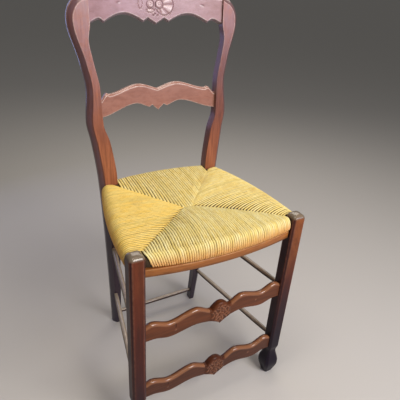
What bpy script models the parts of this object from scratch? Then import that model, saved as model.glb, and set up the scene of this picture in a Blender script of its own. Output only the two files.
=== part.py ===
"""Ladderback counter stool with a woven rush seat.

Metres, +Z up, the sitter faces -Y. Two front legs with domed tops and ball feet, two sawn rear posts
that carry a carved crest rail and one bowed slat, two shaped foot rails in front, plain rungs at the
sides and back, four seat rails inside the rush, and an apron under the rush at the front and sides.
Every rail ends in a tenon that sits in a mortise with JOINT_GAP all round.
"""
import math

import bmesh
import bpy

# Overall sizes
SEAT_HEIGHT = 0.612
FRONT_LEG_SPREAD = 0.463
REAR_POST_SPREAD = 0.350
SEAT_DEPTH = 0.385
JOINT_GAP = 0.0004

# Front leg: a chamfered square with a domed top and a ball foot
LEG_SIDE = 0.040
LEG_CHAMFER = 0.006
LEG_TOP_UP = 0.006
DOME_HEIGHT = 0.014
DOME_ROUND = 0.014
ANKLE_TOP = 0.123
ANKLE_HEIGHT = 0.099
ANKLE_SIDE = 0.031
BALL_HEIGHT = 0.046
BALL_SIDE = 0.052
SOLE_SIDE = 0.030

# Rear post seen from the front: its axis stands out from its place at the seat by these amounts,
# at these heights above the seat, and near the top at these drops below the crest or the post's top
FOOT_IN = 0.016
POST_WIDTH_FOOT = 0.028
POST_WIDTH_SEAT = 0.051
KNEE_UP = 0.122
KNEE_OUT = 0.0134
POST_WIDTH_KNEE = 0.049
BELLY_UP = 0.178
BELLY_OUT = 0.0255
POST_WIDTH_BELLY = 0.042
WAIST_UP = 0.270
WAIST_OUT = 0.0225
POST_WIDTH_WAIST = 0.033
NECK_DROP = 0.087
NECK_OUT = 0.0345
POST_WIDTH_NECK = 0.033
COLLAR_DROP = 0.035
COLLAR_OUT = 0.0255
EAR_DROP = 0.063
EAR_OUT = 0.074
POST_TOP_UP = 0.503
POST_TOP_LAND = 0.020

# Rear post seen from the side
POST_DEPTH_FOOT = 0.029
POST_DEPTH_SEAT = 0.033
POST_DEPTH_TOP = 0.027
FOOT_BACK = 0.040
FOOT_KICK_POWER = 1.6
BACK_RAKE = 0.0766
RAKE_BLEND = 0.060
POST_BEVEL = 0.011
POST_ARRIS = 0.002

# Crest rail between the posts, bowed back in the middle
CREST_JOINT_OUT = 0.019
CREST_HEIGHT = 0.073
CREST_RISE = 0.028
CREST_POINT_DROP = 0.004
CREST_NOTCH_RISE = 0.010
CREST_CUSP_RISE = 0.002
CREST_ARCH_RISE = 0.022
CREST_THICKNESS = 0.019
CREST_SETBACK = 0.008
CREST_BEVEL = 0.007
CREST_TENON_HEIGHT = 0.036
CREST_TENON_LENGTH = 0.018
CREST_WAVES = (0, 0.126, 0.195, 0.50, 0.79, 0.86, 1)

# Back slat, also bowed, its full ends let into the posts
BACK_BOW = 0.028
SLAT_UP = 0.192
SLAT_END_HEIGHT = 0.045
SLAT_HUMP_RISE = 0.033
SLAT_DIP_RISE = 0.017
SLAT_EAR_RISE = 0.018
SLAT_EAR_STEP = 0.004
SLAT_ARCH_RISE = 0.025
SLAT_CUSP_RISE = 0.0105
SLAT_NOTCH_RISE = 0.016
SLAT_THICKNESS = 0.014
SLAT_SETBACK = 0.008
SLAT_BEVEL = 0.005
SLAT_HOUSING = 0.015
SLAT_WAVES = (0, 0.10, 0.157, 0.335, 0.39, 0.62, 0.845, 0.875, 1)

# Two shaped foot rails between the front legs, heights to their middle
FOOT_RAIL_UPPER = 0.364
FOOT_RAIL_LOWER = 0.145
FOOT_RAIL_THICKNESS = 0.018
FOOT_RAIL_SETBACK = 0.009
FOOT_RAIL_END_TOP = 0.021
FOOT_RAIL_END_LOW = 0.025
FOOT_RAIL_HUMP = 0.027
FOOT_RAIL_DIP = 0.010
FOOT_RAIL_GROOVE = 0.008
FOOT_RAIL_VALLEY = 0.036
FOOT_RAIL_POINT = 0.048
FOOT_RAIL_ROUND = 0.006
BLOCK_HALF = 0.027
BLOCK_RIGHT = 0.010
BLOCK_PROUD = 0.005
BLOCK_FULLNESS = 0.6
FOOT_RAIL_WAVES = (0, 0.22, 0.62, 0.90, 1)
FOOT_RAIL_TENON_HEIGHT = 0.034
FOOT_RAIL_TENON_THICKNESS = 0.009

# Plain rungs
SIDE_RUNG_UPPER = 0.361
SIDE_RUNG_LOWER = 0.151
REAR_RUNG_HEIGHT = 0.044
RUNG_DIAMETER = 0.0155
RUNG_END_DIAMETER = 0.0125
RUNG_TAPER = 0.060
RUNG_NECK = 0.0045
BORE_OVERRUN = 0.003

# Seat rails, apron and rush
SEAT_RAIL_DIAMETER = 0.022
SEAT_TENON_DIAMETER = 0.013
SEAT_RAIL_DROP = 0.027
SEAT_RAIL_OUTSET = 0.003
SEAT_TENON_LENGTH = 0.012
FRONT_BOW = 0.023
FRONT_BOW_INSET = 0.0075
TENON_LENGTH = 0.015
RUSH_WALL = 0.006
RUSH_TOP = 0.009
RUSH_RISE = 0.007
RUSH_FRONT_BULGE = 0.002
RUSH_SIDE_BULGE = 0.010
RUSH_REAR_BULGE = 0.008
RUSH_CROWN = 0.004
RUSH_DISH = 0.006
RUSH_SEAM = 0.004
RUSH_HOLLOW = 0.010
RIDGE_HALF = 0.014
RIDGE_FORWARD = 0.015
RIDGE_LEFT = 0.010
APRON_HEIGHT = 0.022
APRON_THICKNESS = 0.012
APRON_SETBACK = 0.004
APRON_ARRIS = 0.002
APRON_TENON_SHOULDER = 0.003

# Fineness of the curved work
ROUND_SIDES = 16
CURVE_STEPS = 4
BEVEL_STEPS = 3
DOME_STEPS = 4
BALL_STEPS = 5
POST_LEG_STEPS = 8
POST_BACK_STEPS = 22
EAR_STEPS = 9
BLOCK_STEPS = 6
ROLL_STEPS = 6
FRONT_BOW_STEPS = 6
RUSH_INSETS = (0.12, 0.28, 0.46, 0.64, 0.82, 0.93)
RUSH_STATIONS = (0, 0.04, 0.09, 0.16, 0.28, 0.42, 0.58, 0.72, 0.84, 0.91, 0.96)
SHARP_ANGLE = math.radians(28)

# Finishes
WOOD_ROUGHNESS = 0.35
RUSH_ROUGHNESS = 0.6
POST_BROWN = "96614a"
LEG_BROWN = "5c2f22"
CREST_BROWN = "8a6a6e"
SLAT_BROWN = "9a6450"
FOOT_RAIL_BROWN = "673722"
APRON_BROWN = "955a39"
RUNG_BROWN = "5a3a2b"
SEAT_RAIL_BROWN = "8a6a48"
STRAW = "dcbc74"

LEG_X = FRONT_LEG_SPREAD / 2
LEG_Y = -SEAT_DEPTH / 2
LEG_HALF = LEG_SIDE / 2
POST_X = REAR_POST_SPREAD / 2
POST_Y = SEAT_DEPTH / 2
POST_TOP = SEAT_HEIGHT + POST_TOP_UP
EAR_Z = POST_TOP - EAR_DROP
CREST_BASE = POST_TOP - CREST_HEIGHT
CREST_JOINT_X = POST_X + CREST_JOINT_OUT
RAIL_Z = SEAT_HEIGHT - SEAT_RAIL_DROP
RAIL_RADIUS = SEAT_RAIL_DIAMETER / 2
ROLL_RADIUS = RAIL_RADIUS + RUSH_WALL
FRONT_RAIL_Y = LEG_Y - SEAT_RAIL_OUTSET
SIDE_RAIL_FRONT_X = LEG_X + SEAT_RAIL_OUTSET
SIDE_RAIL_REAR_X = POST_X + SEAT_RAIL_OUTSET
SIDES = (("left", -1), ("right", 1))

for old in list(bpy.data.objects):
    bpy.data.objects.remove(old)
stool = bpy.data.objects.new("stool", None)
bpy.context.scene.collection.objects.link(stool)
mortises = {}


def linear(code):
    """Linear colour of an sRGB hex code."""
    channels = [int(code[i:i + 2], 16) / 255 for i in (0, 2, 4)]
    return [c / 12.92 if c <= 0.04045 else ((c + 0.055) / 1.055) ** 2.4 for c in channels] + [1]


def material(name, code, roughness):
    """A dielectric finish of one colour."""
    finish = bpy.data.materials.new(name)
    finish.use_nodes = True
    shader = finish.node_tree.nodes["Principled BSDF"]
    shader.inputs["Base Color"].default_value = linear(code)
    shader.inputs["Roughness"].default_value = roughness
    shader.inputs["Metallic"].default_value = 0
    return finish


def add_object(name, bm, finish=None):
    """Link a mesh under the stool's empty, as a piece with a finish or as a hidden cutter without one."""
    bmesh.ops.recalc_face_normals(bm, faces=bm.faces)
    mesh = bpy.data.meshes.new(name)
    bm.to_mesh(mesh)
    bm.free()
    piece = bpy.data.objects.new(name, mesh)
    bpy.context.scene.collection.objects.link(piece)
    piece.parent = stool
    if finish:
        mesh.materials.append(finish)
        mesh.shade_smooth()
        mesh.set_sharp_from_angle(angle=SHARP_ANGLE)
    else:
        piece.hide_render = True
        piece.display_type = "WIRE"
    return piece


def wood_object(name, bm, code):
    """A piece of stained and varnished wood."""
    return add_object(name, bm, material(name + "_wood", code, WOOD_ROUGHNESS))


def loft(loops, bm=None):
    """A closed body through loops with equal numbers of points, added to bm if one is given."""
    bm = bm or bmesh.new()
    rings = [[bm.verts.new(point) for point in loop] for loop in loops]
    count = len(rings[0])
    for ring, following in zip(rings, rings[1:]):
        for i in range(count):
            j = (i + 1) % count
            bm.faces.new((ring[i], ring[j], following[j], following[i]))
    bm.faces.new(rings[0])
    bm.faces.new(rings[-1])
    return bm


def add_mortise(member, loops):
    """Keep a volume to be cut out of a leg, post or seat once every rail is known."""
    loft(loops, mortises.setdefault(member, bmesh.new()))


def cut_mortises(piece):
    """Cut every mortise kept for a piece."""
    cutter = add_object(piece.name + "_mortises", mortises[piece.name])
    cut = piece.modifiers.new("mortises", "BOOLEAN")
    cut.operation = "DIFFERENCE"
    cut.use_self = True
    cut.object = cutter


def smooth(knots, position):
    """Height at position on a curve through knots, which keeps each high and low knot as its extreme."""
    slopes = [(b[1] - a[1]) / (b[0] - a[0]) for a, b in zip(knots, knots[1:])]
    inner = [2 * a * b / (a + b) if a * b > 0 else 0 for a, b in zip(slopes, slopes[1:])]
    tangents = [slopes[0]] + inner + [slopes[-1]]
    last = len(knots) - 2
    i = next((k for k in range(last) if position <= knots[k + 1][0]), last)
    (x0, y0), (x1, y1) = knots[i], knots[i + 1]
    span = x1 - x0
    t = (position - x0) / span
    bend = (2 * t - 3) * t * t
    start_pull = t * (t - 1) ** 2 * span * tangents[i]
    end_pull = t * t * (t - 1) * span * tangents[i + 1]
    return y0 * (1 + bend) - y1 * bend + start_pull + end_pull


def between(start, end, steps):
    """Evenly spread values from start up to, and without, end."""
    return [start + (end - start) * k / steps for k in range(steps)]


def chamfered(front, back, low, high, cuts):
    """Rectangle of (across, up) points, its corners cut: front low, front high, back high, back low."""
    a, b, c, d = cuts
    return [(front, low + a), (front, high - b), (front + b, high), (back - c, high),
            (back, high - c), (back, low + d), (back - d, low), (front + a, low)]


# Rear posts

POST_OUTER = (
    (0, POST_X - FOOT_IN + POST_WIDTH_FOOT / 2),
    (SEAT_HEIGHT, POST_X + POST_WIDTH_SEAT / 2),
    (SEAT_HEIGHT + KNEE_UP, POST_X + KNEE_OUT + POST_WIDTH_KNEE / 2),
    (SEAT_HEIGHT + BELLY_UP, POST_X + BELLY_OUT + POST_WIDTH_BELLY / 2),
    (SEAT_HEIGHT + WAIST_UP, POST_X + WAIST_OUT + POST_WIDTH_WAIST / 2),
    (CREST_BASE - NECK_DROP, POST_X + NECK_OUT + POST_WIDTH_NECK / 2),
    (EAR_Z, POST_X + EAR_OUT),
    (POST_TOP, CREST_JOINT_X),
)
POST_INNER = (
    (0, POST_X - FOOT_IN - POST_WIDTH_FOOT / 2),
    (SEAT_HEIGHT, POST_X - POST_WIDTH_SEAT / 2),
    (SEAT_HEIGHT + KNEE_UP, POST_X + KNEE_OUT - POST_WIDTH_KNEE / 2),
    (SEAT_HEIGHT + BELLY_UP, POST_X + BELLY_OUT - POST_WIDTH_BELLY / 2),
    (SEAT_HEIGHT + WAIST_UP, POST_X + WAIST_OUT - POST_WIDTH_WAIST / 2),
    (CREST_BASE - NECK_DROP, POST_X + NECK_OUT - POST_WIDTH_NECK / 2),
    (CREST_BASE - COLLAR_DROP, POST_X + COLLAR_OUT),
    (CREST_BASE, CREST_JOINT_X),
)


def post_axis_y(height):
    """The rear leg kicks back below the seat and the back leans back above it."""
    if height < SEAT_HEIGHT:
        return POST_Y + FOOT_BACK * ((SEAT_HEIGHT - height) / SEAT_HEIGHT) ** FOOT_KICK_POWER
    return POST_Y + BACK_RAKE * (math.hypot(height - SEAT_HEIGHT, RAKE_BLEND) - RAKE_BLEND)


def post_depth(height):
    knots = ((0, POST_DEPTH_FOOT), (SEAT_HEIGHT, POST_DEPTH_SEAT), (POST_TOP, POST_DEPTH_TOP))
    return smooth(knots, height)


def post_front(height):
    return post_axis_y(height) - post_depth(height) / 2


def post_section(inner, outer, side):
    """Section of a post from its inner to its outer edge point (x, z), its outer front corner eased."""
    width = math.dist(inner, outer)
    across = ((outer[0] - inner[0]) / width, (outer[1] - inner[1]) / width)
    arc = between(0, math.pi / 2, BEVEL_STEPS) + [math.pi / 2]
    bevel = [(width - POST_BEVEL * (1 - math.sin(a)), POST_BEVEL * (1 - math.cos(a))) for a in arc]
    depth = post_depth(inner[1])
    arris = POST_ARRIS
    outline = [(0, arris), (arris, 0)] + bevel
    outline += [(width, depth - arris), (width - arris, depth), (arris, depth), (0, depth - arris)]
    points = []
    for reach, back in outline:
        height = inner[1] + across[1] * reach
        points.append((side * (inner[0] + across[0] * reach), post_front(height) + back, height))
    return points


def post_loops(side):
    levels = between(0, SEAT_HEIGHT, POST_LEG_STEPS)
    levels += between(SEAT_HEIGHT, CREST_BASE, POST_BACK_STEPS) + [CREST_BASE]
    loops = []
    for level in levels:
        inner = (smooth(POST_INNER, level), level)
        outer = (smooth(POST_OUTER, level), level)
        loops.append(post_section(inner, outer, side))
    for step in range(1, EAR_STEPS + 1):
        share = step / EAR_STEPS
        turn = share * math.pi / 2
        inner = (CREST_JOINT_X, CREST_BASE + (CREST_HEIGHT - POST_TOP_LAND) * share)
        outer_x = CREST_JOINT_X + (POST_X + EAR_OUT - CREST_JOINT_X) * math.cos(turn)
        outer = (outer_x, EAR_Z + EAR_DROP * math.sin(turn))
        loops.append(post_section(inner, outer, side))
    return loops


# Front legs

def leg_half(height):
    knots = ((0, SOLE_SIDE / 2), (BALL_HEIGHT, BALL_SIDE / 2), (ANKLE_HEIGHT, ANKLE_SIDE / 2),
             (ANKLE_TOP, LEG_HALF), (SEAT_HEIGHT + LEG_TOP_UP, LEG_HALF))
    return smooth(knots, height)


def leg_loops(side):
    shoulder = SEAT_HEIGHT + LEG_TOP_UP - DOME_HEIGHT
    levels = between(0, BALL_HEIGHT, BALL_STEPS) + between(BALL_HEIGHT, ANKLE_HEIGHT, BALL_STEPS)
    levels += between(ANKLE_HEIGHT, ANKLE_TOP, CURVE_STEPS) + [ANKLE_TOP, shoulder]
    rows = [(level, leg_half(level)) for level in levels]
    for step in range(1, DOME_STEPS + 1):
        turn = math.pi / 2 * step / DOME_STEPS
        half = LEG_HALF - DOME_ROUND * (1 - math.cos(turn))
        rows.append((shoulder + DOME_HEIGHT * math.sin(turn), half))
    loops = []
    for level, half in rows:
        cut = LEG_CHAMFER * half / LEG_HALF
        square = chamfered(-half, half, -half, half, (cut,) * 4)
        loops.append([(side * LEG_X + x, LEG_Y + y, level) for x, y in square])
    return loops


# Flat rails: each is a loft of (along, section) stations, and its tenon follows the same curve

def rail_loops(stations, place):
    return [[place(along, across, up) for across, up in section] for along, section in stations]


def crest_place(x, across, up):
    bow = BACK_BOW * (1 - (x / CREST_JOINT_X) ** 2)
    return (x, post_front(up) + CREST_SETBACK + bow + across, up)


def slat_place(x, across, up):
    bow = BACK_BOW * (1 - (x / CREST_JOINT_X) ** 2)
    return (x, post_front(up) + SLAT_SETBACK + bow + across, up)


def mirrored(half):
    """Stations for a whole rail from those of its right half, which start at the middle."""
    return [(-along, section) for along, section in reversed(half[1:])] + half


def fine_levels(marks, steps):
    """Positions at every mark and at a few even steps between neighbours."""
    levels = []
    for start, end in zip(marks, marks[1:]):
        levels += between(start, end, steps)
    return levels + [marks[-1]]


def shoulder_tenon(length, reach, tenon):
    """Tenon stations past a shoulder at length."""
    return [(length, tenon), (length + reach, tenon)]


def fit_tenon(members, place, length, reach, grown):
    """Cut the mortises of a rail with a tenon at both ends."""
    for member, sign in members:
        start = sign * (length - TENON_LENGTH / 2)
        end = sign * (length + reach + JOINT_GAP)
        add_mortise(member, rail_loops([(start, grown), (end, grown)], place))


def make_crest():
    """Scalloped below with a point in the middle, gently arched on top."""
    length = CREST_JOINT_X - JOINT_GAP
    marks = [length * share for share in CREST_WAVES]
    cusp = CREST_BASE + CREST_CUSP_RISE
    notch = CREST_BASE + CREST_NOTCH_RISE
    point = ((0, CREST_BASE - CREST_POINT_DROP), (marks[1], notch), (marks[2], cusp))
    end = ((marks[4], cusp), (marks[5], notch), (marks[6], CREST_BASE))
    stations = []
    for x in fine_levels(marks, CURVE_STEPS):
        if x < marks[2]:
            k = 0 if x < marks[1] else 1
            (x0, z0), (x1, z1) = point[k], point[k + 1]
            low = z0 + (z1 - z0) * (x - x0) / (x1 - x0)
        elif x < marks[4]:
            t = (x - marks[2]) / (marks[4] - marks[2])
            low = cusp + (CREST_ARCH_RISE - CREST_CUSP_RISE) * math.sin(math.pi * t)
        else:
            low = smooth(end, x)
        high = POST_TOP + CREST_RISE * (1 + math.cos(math.pi * x / length)) / 2
        cuts = (CREST_BEVEL, CREST_BEVEL, POST_ARRIS, POST_ARRIS)
        stations.append((x, chamfered(0, CREST_THICKNESS, low, high, cuts)))
    middle = (CREST_BASE + POST_TOP) / 2
    inset = CREST_THICKNESS / 4

    def tenon(grow):
        half = CREST_TENON_HEIGHT / 2 + grow
        cuts = (POST_ARRIS / 2,) * 4
        return chamfered(inset - grow, CREST_THICKNESS - inset + grow, middle - half, middle + half, cuts)

    stations += shoulder_tenon(length, CREST_TENON_LENGTH, tenon(0))
    members = [("rear_post_" + name, sign) for name, sign in SIDES]
    fit_tenon(members, crest_place, length, CREST_TENON_LENGTH, tenon(JOINT_GAP))
    wood_object("crest_rail", loft(rail_loops(mirrored(stations), crest_place)), CREST_BROWN)


def make_slat():
    """Double hump above, double arch with a point below."""
    low_end = SEAT_HEIGHT + SLAT_UP
    high_end = low_end + SLAT_END_HEIGHT
    face = smooth(POST_INNER, low_end + SLAT_END_HEIGHT / 2)
    length = face + SLAT_HOUSING
    marks = [face * share for share in SLAT_WAVES] + [length]
    top = ((marks[0], high_end + SLAT_DIP_RISE), (marks[3], high_end + SLAT_HUMP_RISE),
           (marks[6], high_end + SLAT_EAR_RISE - SLAT_EAR_STEP), (marks[7], high_end + SLAT_EAR_RISE),
           (marks[8], high_end), (marks[9], high_end))
    low = ((marks[2], low_end + SLAT_CUSP_RISE), (marks[4], low_end + SLAT_ARCH_RISE),
           (marks[8], low_end), (marks[9], low_end))

    def section(x, grow):
        if x < marks[1]:
            below = low_end + SLAT_NOTCH_RISE * x / marks[1]
        elif x < marks[2]:
            drop = (SLAT_NOTCH_RISE - SLAT_CUSP_RISE) * (x - marks[1]) / (marks[2] - marks[1])
            below = low_end + SLAT_NOTCH_RISE - drop
        else:
            below = smooth(low, x)
        cuts = (POST_ARRIS, SLAT_BEVEL, POST_ARRIS, POST_ARRIS)
        return chamfered(-grow, SLAT_THICKNESS + grow, below - grow, smooth(top, x) + grow, cuts)

    stations = [(x, section(x, 0)) for x in fine_levels(marks, CURVE_STEPS)]
    for name, sign in SIDES:
        past = length + JOINT_GAP
        spots = [face - SLAT_HOUSING, face, (face + past) / 2, past]
        socket = [(sign * x, section(x, JOINT_GAP)) for x in spots]
        add_mortise("rear_post_" + name, rail_loops(socket, slat_place))
    wood_object("back_slat", loft(rail_loops(mirrored(stations), slat_place)), SLAT_BROWN)


def make_foot_rail(name, height):
    """Waved rail with a raised block in the middle, round on top where feet rest."""
    face = LEG_X - LEG_HALF
    length = face - JOINT_GAP
    edge = BLOCK_HALF + BLOCK_PROUD / 2
    block_low = ((0, height - FOOT_RAIL_POINT),
                 (BLOCK_HALF / 3, height - FOOT_RAIL_VALLEY - BLOCK_PROUD),
                 (BLOCK_HALF, height - FOOT_RAIL_END_LOW - FOOT_RAIL_ROUND))
    top_rises = (FOOT_RAIL_GROOVE, FOOT_RAIL_HUMP, FOOT_RAIL_DIP, FOOT_RAIL_HUMP, FOOT_RAIL_END_TOP)
    low_drops = (FOOT_RAIL_END_LOW + FOOT_RAIL_ROUND, FOOT_RAIL_END_LOW, FOOT_RAIL_VALLEY,
                 FOOT_RAIL_END_LOW, FOOT_RAIL_END_LOW)
    front = LEG_Y - LEG_HALF + FOOT_RAIL_SETBACK
    cuts = (FOOT_RAIL_ROUND / 2, FOOT_RAIL_ROUND, FOOT_RAIL_ROUND, FOOT_RAIL_ROUND / 2)

    def place(x, across, up):
        return (x, front + across, up)

    def half_stations(sign):
        """Stations from the middle of the block out to one leg."""
        stations = []
        for x in between(0, BLOCK_HALF, BLOCK_STEPS) + [BLOCK_HALF]:
            swell = math.cos(math.pi * x / BLOCK_HALF / 2) ** BLOCK_FULLNESS
            high = height + FOOT_RAIL_GROOVE + (FOOT_RAIL_HUMP - FOOT_RAIL_GROOVE) * swell
            section = chamfered(-BLOCK_PROUD, FOOT_RAIL_THICKNESS, smooth(block_low, x), high, cuts)
            stations.append((BLOCK_RIGHT + sign * x, section))
        room = length - sign * BLOCK_RIGHT - edge
        marks = [edge + room * share for share in FOOT_RAIL_WAVES]
        top = [(mark, height + rise) for mark, rise in zip(marks, top_rises)]
        low = [(mark, height - drop) for mark, drop in zip(marks, low_drops)]
        for x in fine_levels(marks, CURVE_STEPS):
            section = chamfered(0, FOOT_RAIL_THICKNESS, smooth(low, x), smooth(top, x), cuts)
            stations.append((BLOCK_RIGHT + sign * x, section))
        for x, section in shoulder_tenon(length, TENON_LENGTH, tenon(0)):
            stations.append((sign * x, section))
        return stations

    def tenon(grow):
        half = FOOT_RAIL_TENON_HEIGHT / 2 + grow
        back = FOOT_RAIL_THICKNESS / 2
        small = (POST_ARRIS / 2,) * 4
        return chamfered(back - FOOT_RAIL_TENON_THICKNESS - grow, back + grow,
                         height - half, height + half, small)

    stations = half_stations(-1)[:0:-1] + half_stations(1)
    members = [("front_leg_" + side, sign) for side, sign in SIDES]
    fit_tenon(members, place, length, TENON_LENGTH, tenon(JOINT_GAP))
    wood_object(name, loft(rail_loops(stations, place)), FOOT_RAIL_BROWN)


def apron_section(grow, shoulder):
    """Section of an apron, or of its tenon or mortise, across and up from the rail above it."""
    high = RAIL_Z - ROLL_RADIUS - JOINT_GAP - shoulder + grow
    low = RAIL_Z - ROLL_RADIUS - JOINT_GAP - APRON_HEIGHT + shoulder - grow
    outer = -ROLL_RADIUS + APRON_SETBACK + shoulder - grow
    inner = -ROLL_RADIUS + APRON_SETBACK + APRON_THICKNESS - shoulder + grow
    return chamfered(outer, inner, low, high, (APRON_ARRIS / 2 if shoulder else APRON_ARRIS,) * 4)


def front_line(x):
    """Where the bowed front rail runs at x; it goes straight into the legs."""
    share = min(1, abs(x) / (LEG_X - LEG_HALF))
    return LEG_Y + FRONT_BOW_INSET - FRONT_BOW * (1 - share * share)


def make_front_apron():
    """Plain strip under the rush, bowed forward between the front legs."""

    def place(x, across, up):
        return (x, front_line(x) + across, up)

    length = LEG_X - LEG_HALF - JOINT_GAP
    half = [(x, apron_section(0, 0)) for x in between(0, length, FRONT_BOW_STEPS) + [length]]
    half += shoulder_tenon(length, TENON_LENGTH, apron_section(0, APRON_TENON_SHOULDER))
    socket = apron_section(JOINT_GAP, APRON_TENON_SHOULDER)
    for side, sign in SIDES:
        hole = [(sign * length, socket), (sign * (length + TENON_LENGTH + JOINT_GAP), socket)]
        add_mortise("front_leg_" + side, rail_loops(hole, place))
    wood_object("apron_front", loft(rail_loops(mirrored(half), place)), APRON_BROWN)


def side_rail_x(y):
    """Distance from the middle to a side rail's axis at y."""
    share = (y - LEG_Y) / SEAT_DEPTH
    return SIDE_RAIL_FRONT_X + (SIDE_RAIL_REAR_X - SIDE_RAIL_FRONT_X) * share


def make_side_apron(name, sign):
    """Plain strip under the rush, from a front leg to a rear post."""

    def place(y, across, up):
        return (sign * (side_rail_x(y) - across), y, up)

    mid = RAIL_Z - ROLL_RADIUS - APRON_HEIGHT / 2
    start = LEG_Y + LEG_HALF + JOINT_GAP
    end = post_front(mid) - JOINT_GAP
    body = apron_section(0, 0)
    tenon = apron_section(0, APRON_TENON_SHOULDER)
    socket = apron_section(JOINT_GAP, APRON_TENON_SHOULDER)
    stations = [(start - TENON_LENGTH, tenon), (start, tenon), (start, body), (end, body),
                (end, tenon), (end + TENON_LENGTH, tenon)]
    reach = TENON_LENGTH + JOINT_GAP
    for member, shoulder in (("front_leg_" + name, start), ("rear_post_" + name, end)):
        hole = [(shoulder - reach, socket), (shoulder + reach, socket)]
        add_mortise(member, rail_loops(hole, place))
    wood_object("apron_" + name, loft(rail_loops(stations, place)), APRON_BROWN)


# Round rails and rungs

def bar_loops(start, end, rows):
    """Rings round the line from start to end, from (distance along, radius) rows."""
    length = math.dist(start, end)
    along = [(b - a) / length for a, b in zip(start, end)]
    level = math.hypot(along[0], along[1])
    side = (along[1] / level, -along[0] / level, 0)
    up = (side[1] * along[2], -side[0] * along[2], side[0] * along[1] - side[1] * along[0])
    loops = []
    for distance, radius in rows:
        ring = []
        for k in range(ROUND_SIDES):
            turn = 2 * math.pi * k / ROUND_SIDES
            right, high = radius * math.cos(turn), radius * math.sin(turn)
            ring.append([s + a * distance + r * right + u * high
                         for s, a, r, u in zip(start, along, side, up)])
        loops.append(ring)
    return loops


def make_rung(name, ends):
    """A dowel thickest along its middle; ends are (member, socket bottom) pairs."""
    (first, start), (second, end) = ends
    length = math.dist(start, end)
    thin = RUNG_END_DIAMETER / 2
    thick = RUNG_DIAMETER / 2
    neck = TENON_LENGTH + RUNG_NECK
    rows = [(0, thin), (neck, thin), (neck + RUNG_TAPER, thick)]
    rows += [(length - distance, radius) for distance, radius in reversed(rows)]
    wood_object(name, loft(bar_loops(start, end, rows)), RUNG_BROWN)
    bore = thin + JOINT_GAP
    reach = TENON_LENGTH + BORE_OVERRUN
    add_mortise(first, bar_loops(start, end, [(-JOINT_GAP, bore), (reach, bore)]))
    add_mortise(second, bar_loops(start, end, [(length - reach, bore), (length + JOINT_GAP, bore)]))


def make_side_rung(level, side, sign, height):
    """From the back of a front leg to the front of a rear post."""
    rear_x = (smooth(POST_INNER, height) + smooth(POST_OUTER, height)) / 2
    start = (sign * LEG_X, LEG_Y + LEG_HALF - TENON_LENGTH, height)
    end = (sign * rear_x, post_front(height) + TENON_LENGTH, height)
    ends = (("front_leg_" + side, start), ("rear_post_" + side, end))
    make_rung("side_rung_" + level + "_" + side, ends)


def make_rear_rung():
    x = smooth(POST_INNER, REAR_RUNG_HEIGHT) + TENON_LENGTH
    y = post_axis_y(REAR_RUNG_HEIGHT)
    ends = [("rear_post_" + side, (sign * x, y, REAR_RUNG_HEIGHT)) for side, sign in SIDES]
    make_rung("rear_rung", ends)


def make_seat_rail(name, ends, standoff):
    """A round rail with a thinner tenon at each end, which the rush is wound on."""
    (first, start), (second, end) = ends
    length = math.dist(start, end)
    thin = SEAT_TENON_DIAMETER / 2
    thick = RAIL_RADIUS
    shoulder = SEAT_TENON_LENGTH + standoff
    rows = [(0, thin), (shoulder, thin), (shoulder, thick)]
    rows += [(length - distance, radius) for distance, radius in reversed(rows)]
    wood_object(name, loft(bar_loops(start, end, rows)), SEAT_RAIL_BROWN)
    bore = thin + JOINT_GAP
    reach = shoulder + standoff
    add_mortise(first, bar_loops(start, end, [(-JOINT_GAP, bore), (reach, bore)]))
    add_mortise(second, bar_loops(start, end, [(length - reach, bore), (length + JOINT_GAP, bore)]))
    tunnel = thick + JOINT_GAP
    add_mortise("rush_seat", bar_loops(start, end, [(0, tunnel), (length, tunnel)]))


def bowed_loops(rows):
    """Rings round the front rail's line, from (x, radius) rows."""
    turns = [2 * math.pi * k / ROUND_SIDES for k in range(ROUND_SIDES)]
    return [[(x, front_line(x) + radius * math.cos(turn), RAIL_Z + radius * math.sin(turn)) for turn in turns]
            for x, radius in rows]


def make_front_rail():
    """The round rail at the front, bowed forward, with straight tenons."""
    thin = SEAT_TENON_DIAMETER / 2
    inside = LEG_X - LEG_HALF
    shoulder = inside - JOINT_GAP
    end = inside + SEAT_TENON_LENGTH
    half = [(x, RAIL_RADIUS) for x in between(0, shoulder, FRONT_BOW_STEPS) + [shoulder]]
    half += [(shoulder, thin), (end, thin)]
    wood_object("seat_rail_front", loft(bowed_loops(mirrored(half))), SEAT_RAIL_BROWN)
    bore = thin + JOINT_GAP
    for side, sign in SIDES:
        socket = [(sign * (shoulder - JOINT_GAP), bore), (sign * (end + JOINT_GAP), bore)]
        add_mortise("front_leg_" + side, bowed_loops(socket))
    tunnel = [(x, RAIL_RADIUS + JOINT_GAP) for x in between(0, inside, FRONT_BOW_STEPS) + [inside, end]]
    add_mortise("rush_seat", bowed_loops(mirrored(tunnel)))


def make_seat_rails():
    slant = (SIDE_RAIL_FRONT_X - SIDE_RAIL_REAR_X) / SEAT_DEPTH
    skew = JOINT_GAP + abs(slant) * RAIL_RADIUS
    rear_x = smooth(POST_INNER, RAIL_Z) + SEAT_TENON_LENGTH
    rear = [("rear_post_" + side, (sign * rear_x, post_axis_y(RAIL_Z), RAIL_Z)) for side, sign in SIDES]
    make_front_rail()
    make_seat_rail("seat_rail_rear", rear, JOINT_GAP * 2)
    start_y = LEG_Y + LEG_HALF - SEAT_TENON_LENGTH
    end_y = post_front(RAIL_Z) + SEAT_TENON_LENGTH
    for side, sign in SIDES:
        start = ("front_leg_" + side, (sign * side_rail_x(start_y), start_y, RAIL_Z))
        end = ("rear_post_" + side, (sign * side_rail_x(end_y), end_y, RAIL_Z))
        make_seat_rail("seat_rail_" + side, (start, end), skew)


# Rush seat: four panels wound round the rails, meeting in seams that run from the legs to a short ridge

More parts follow.
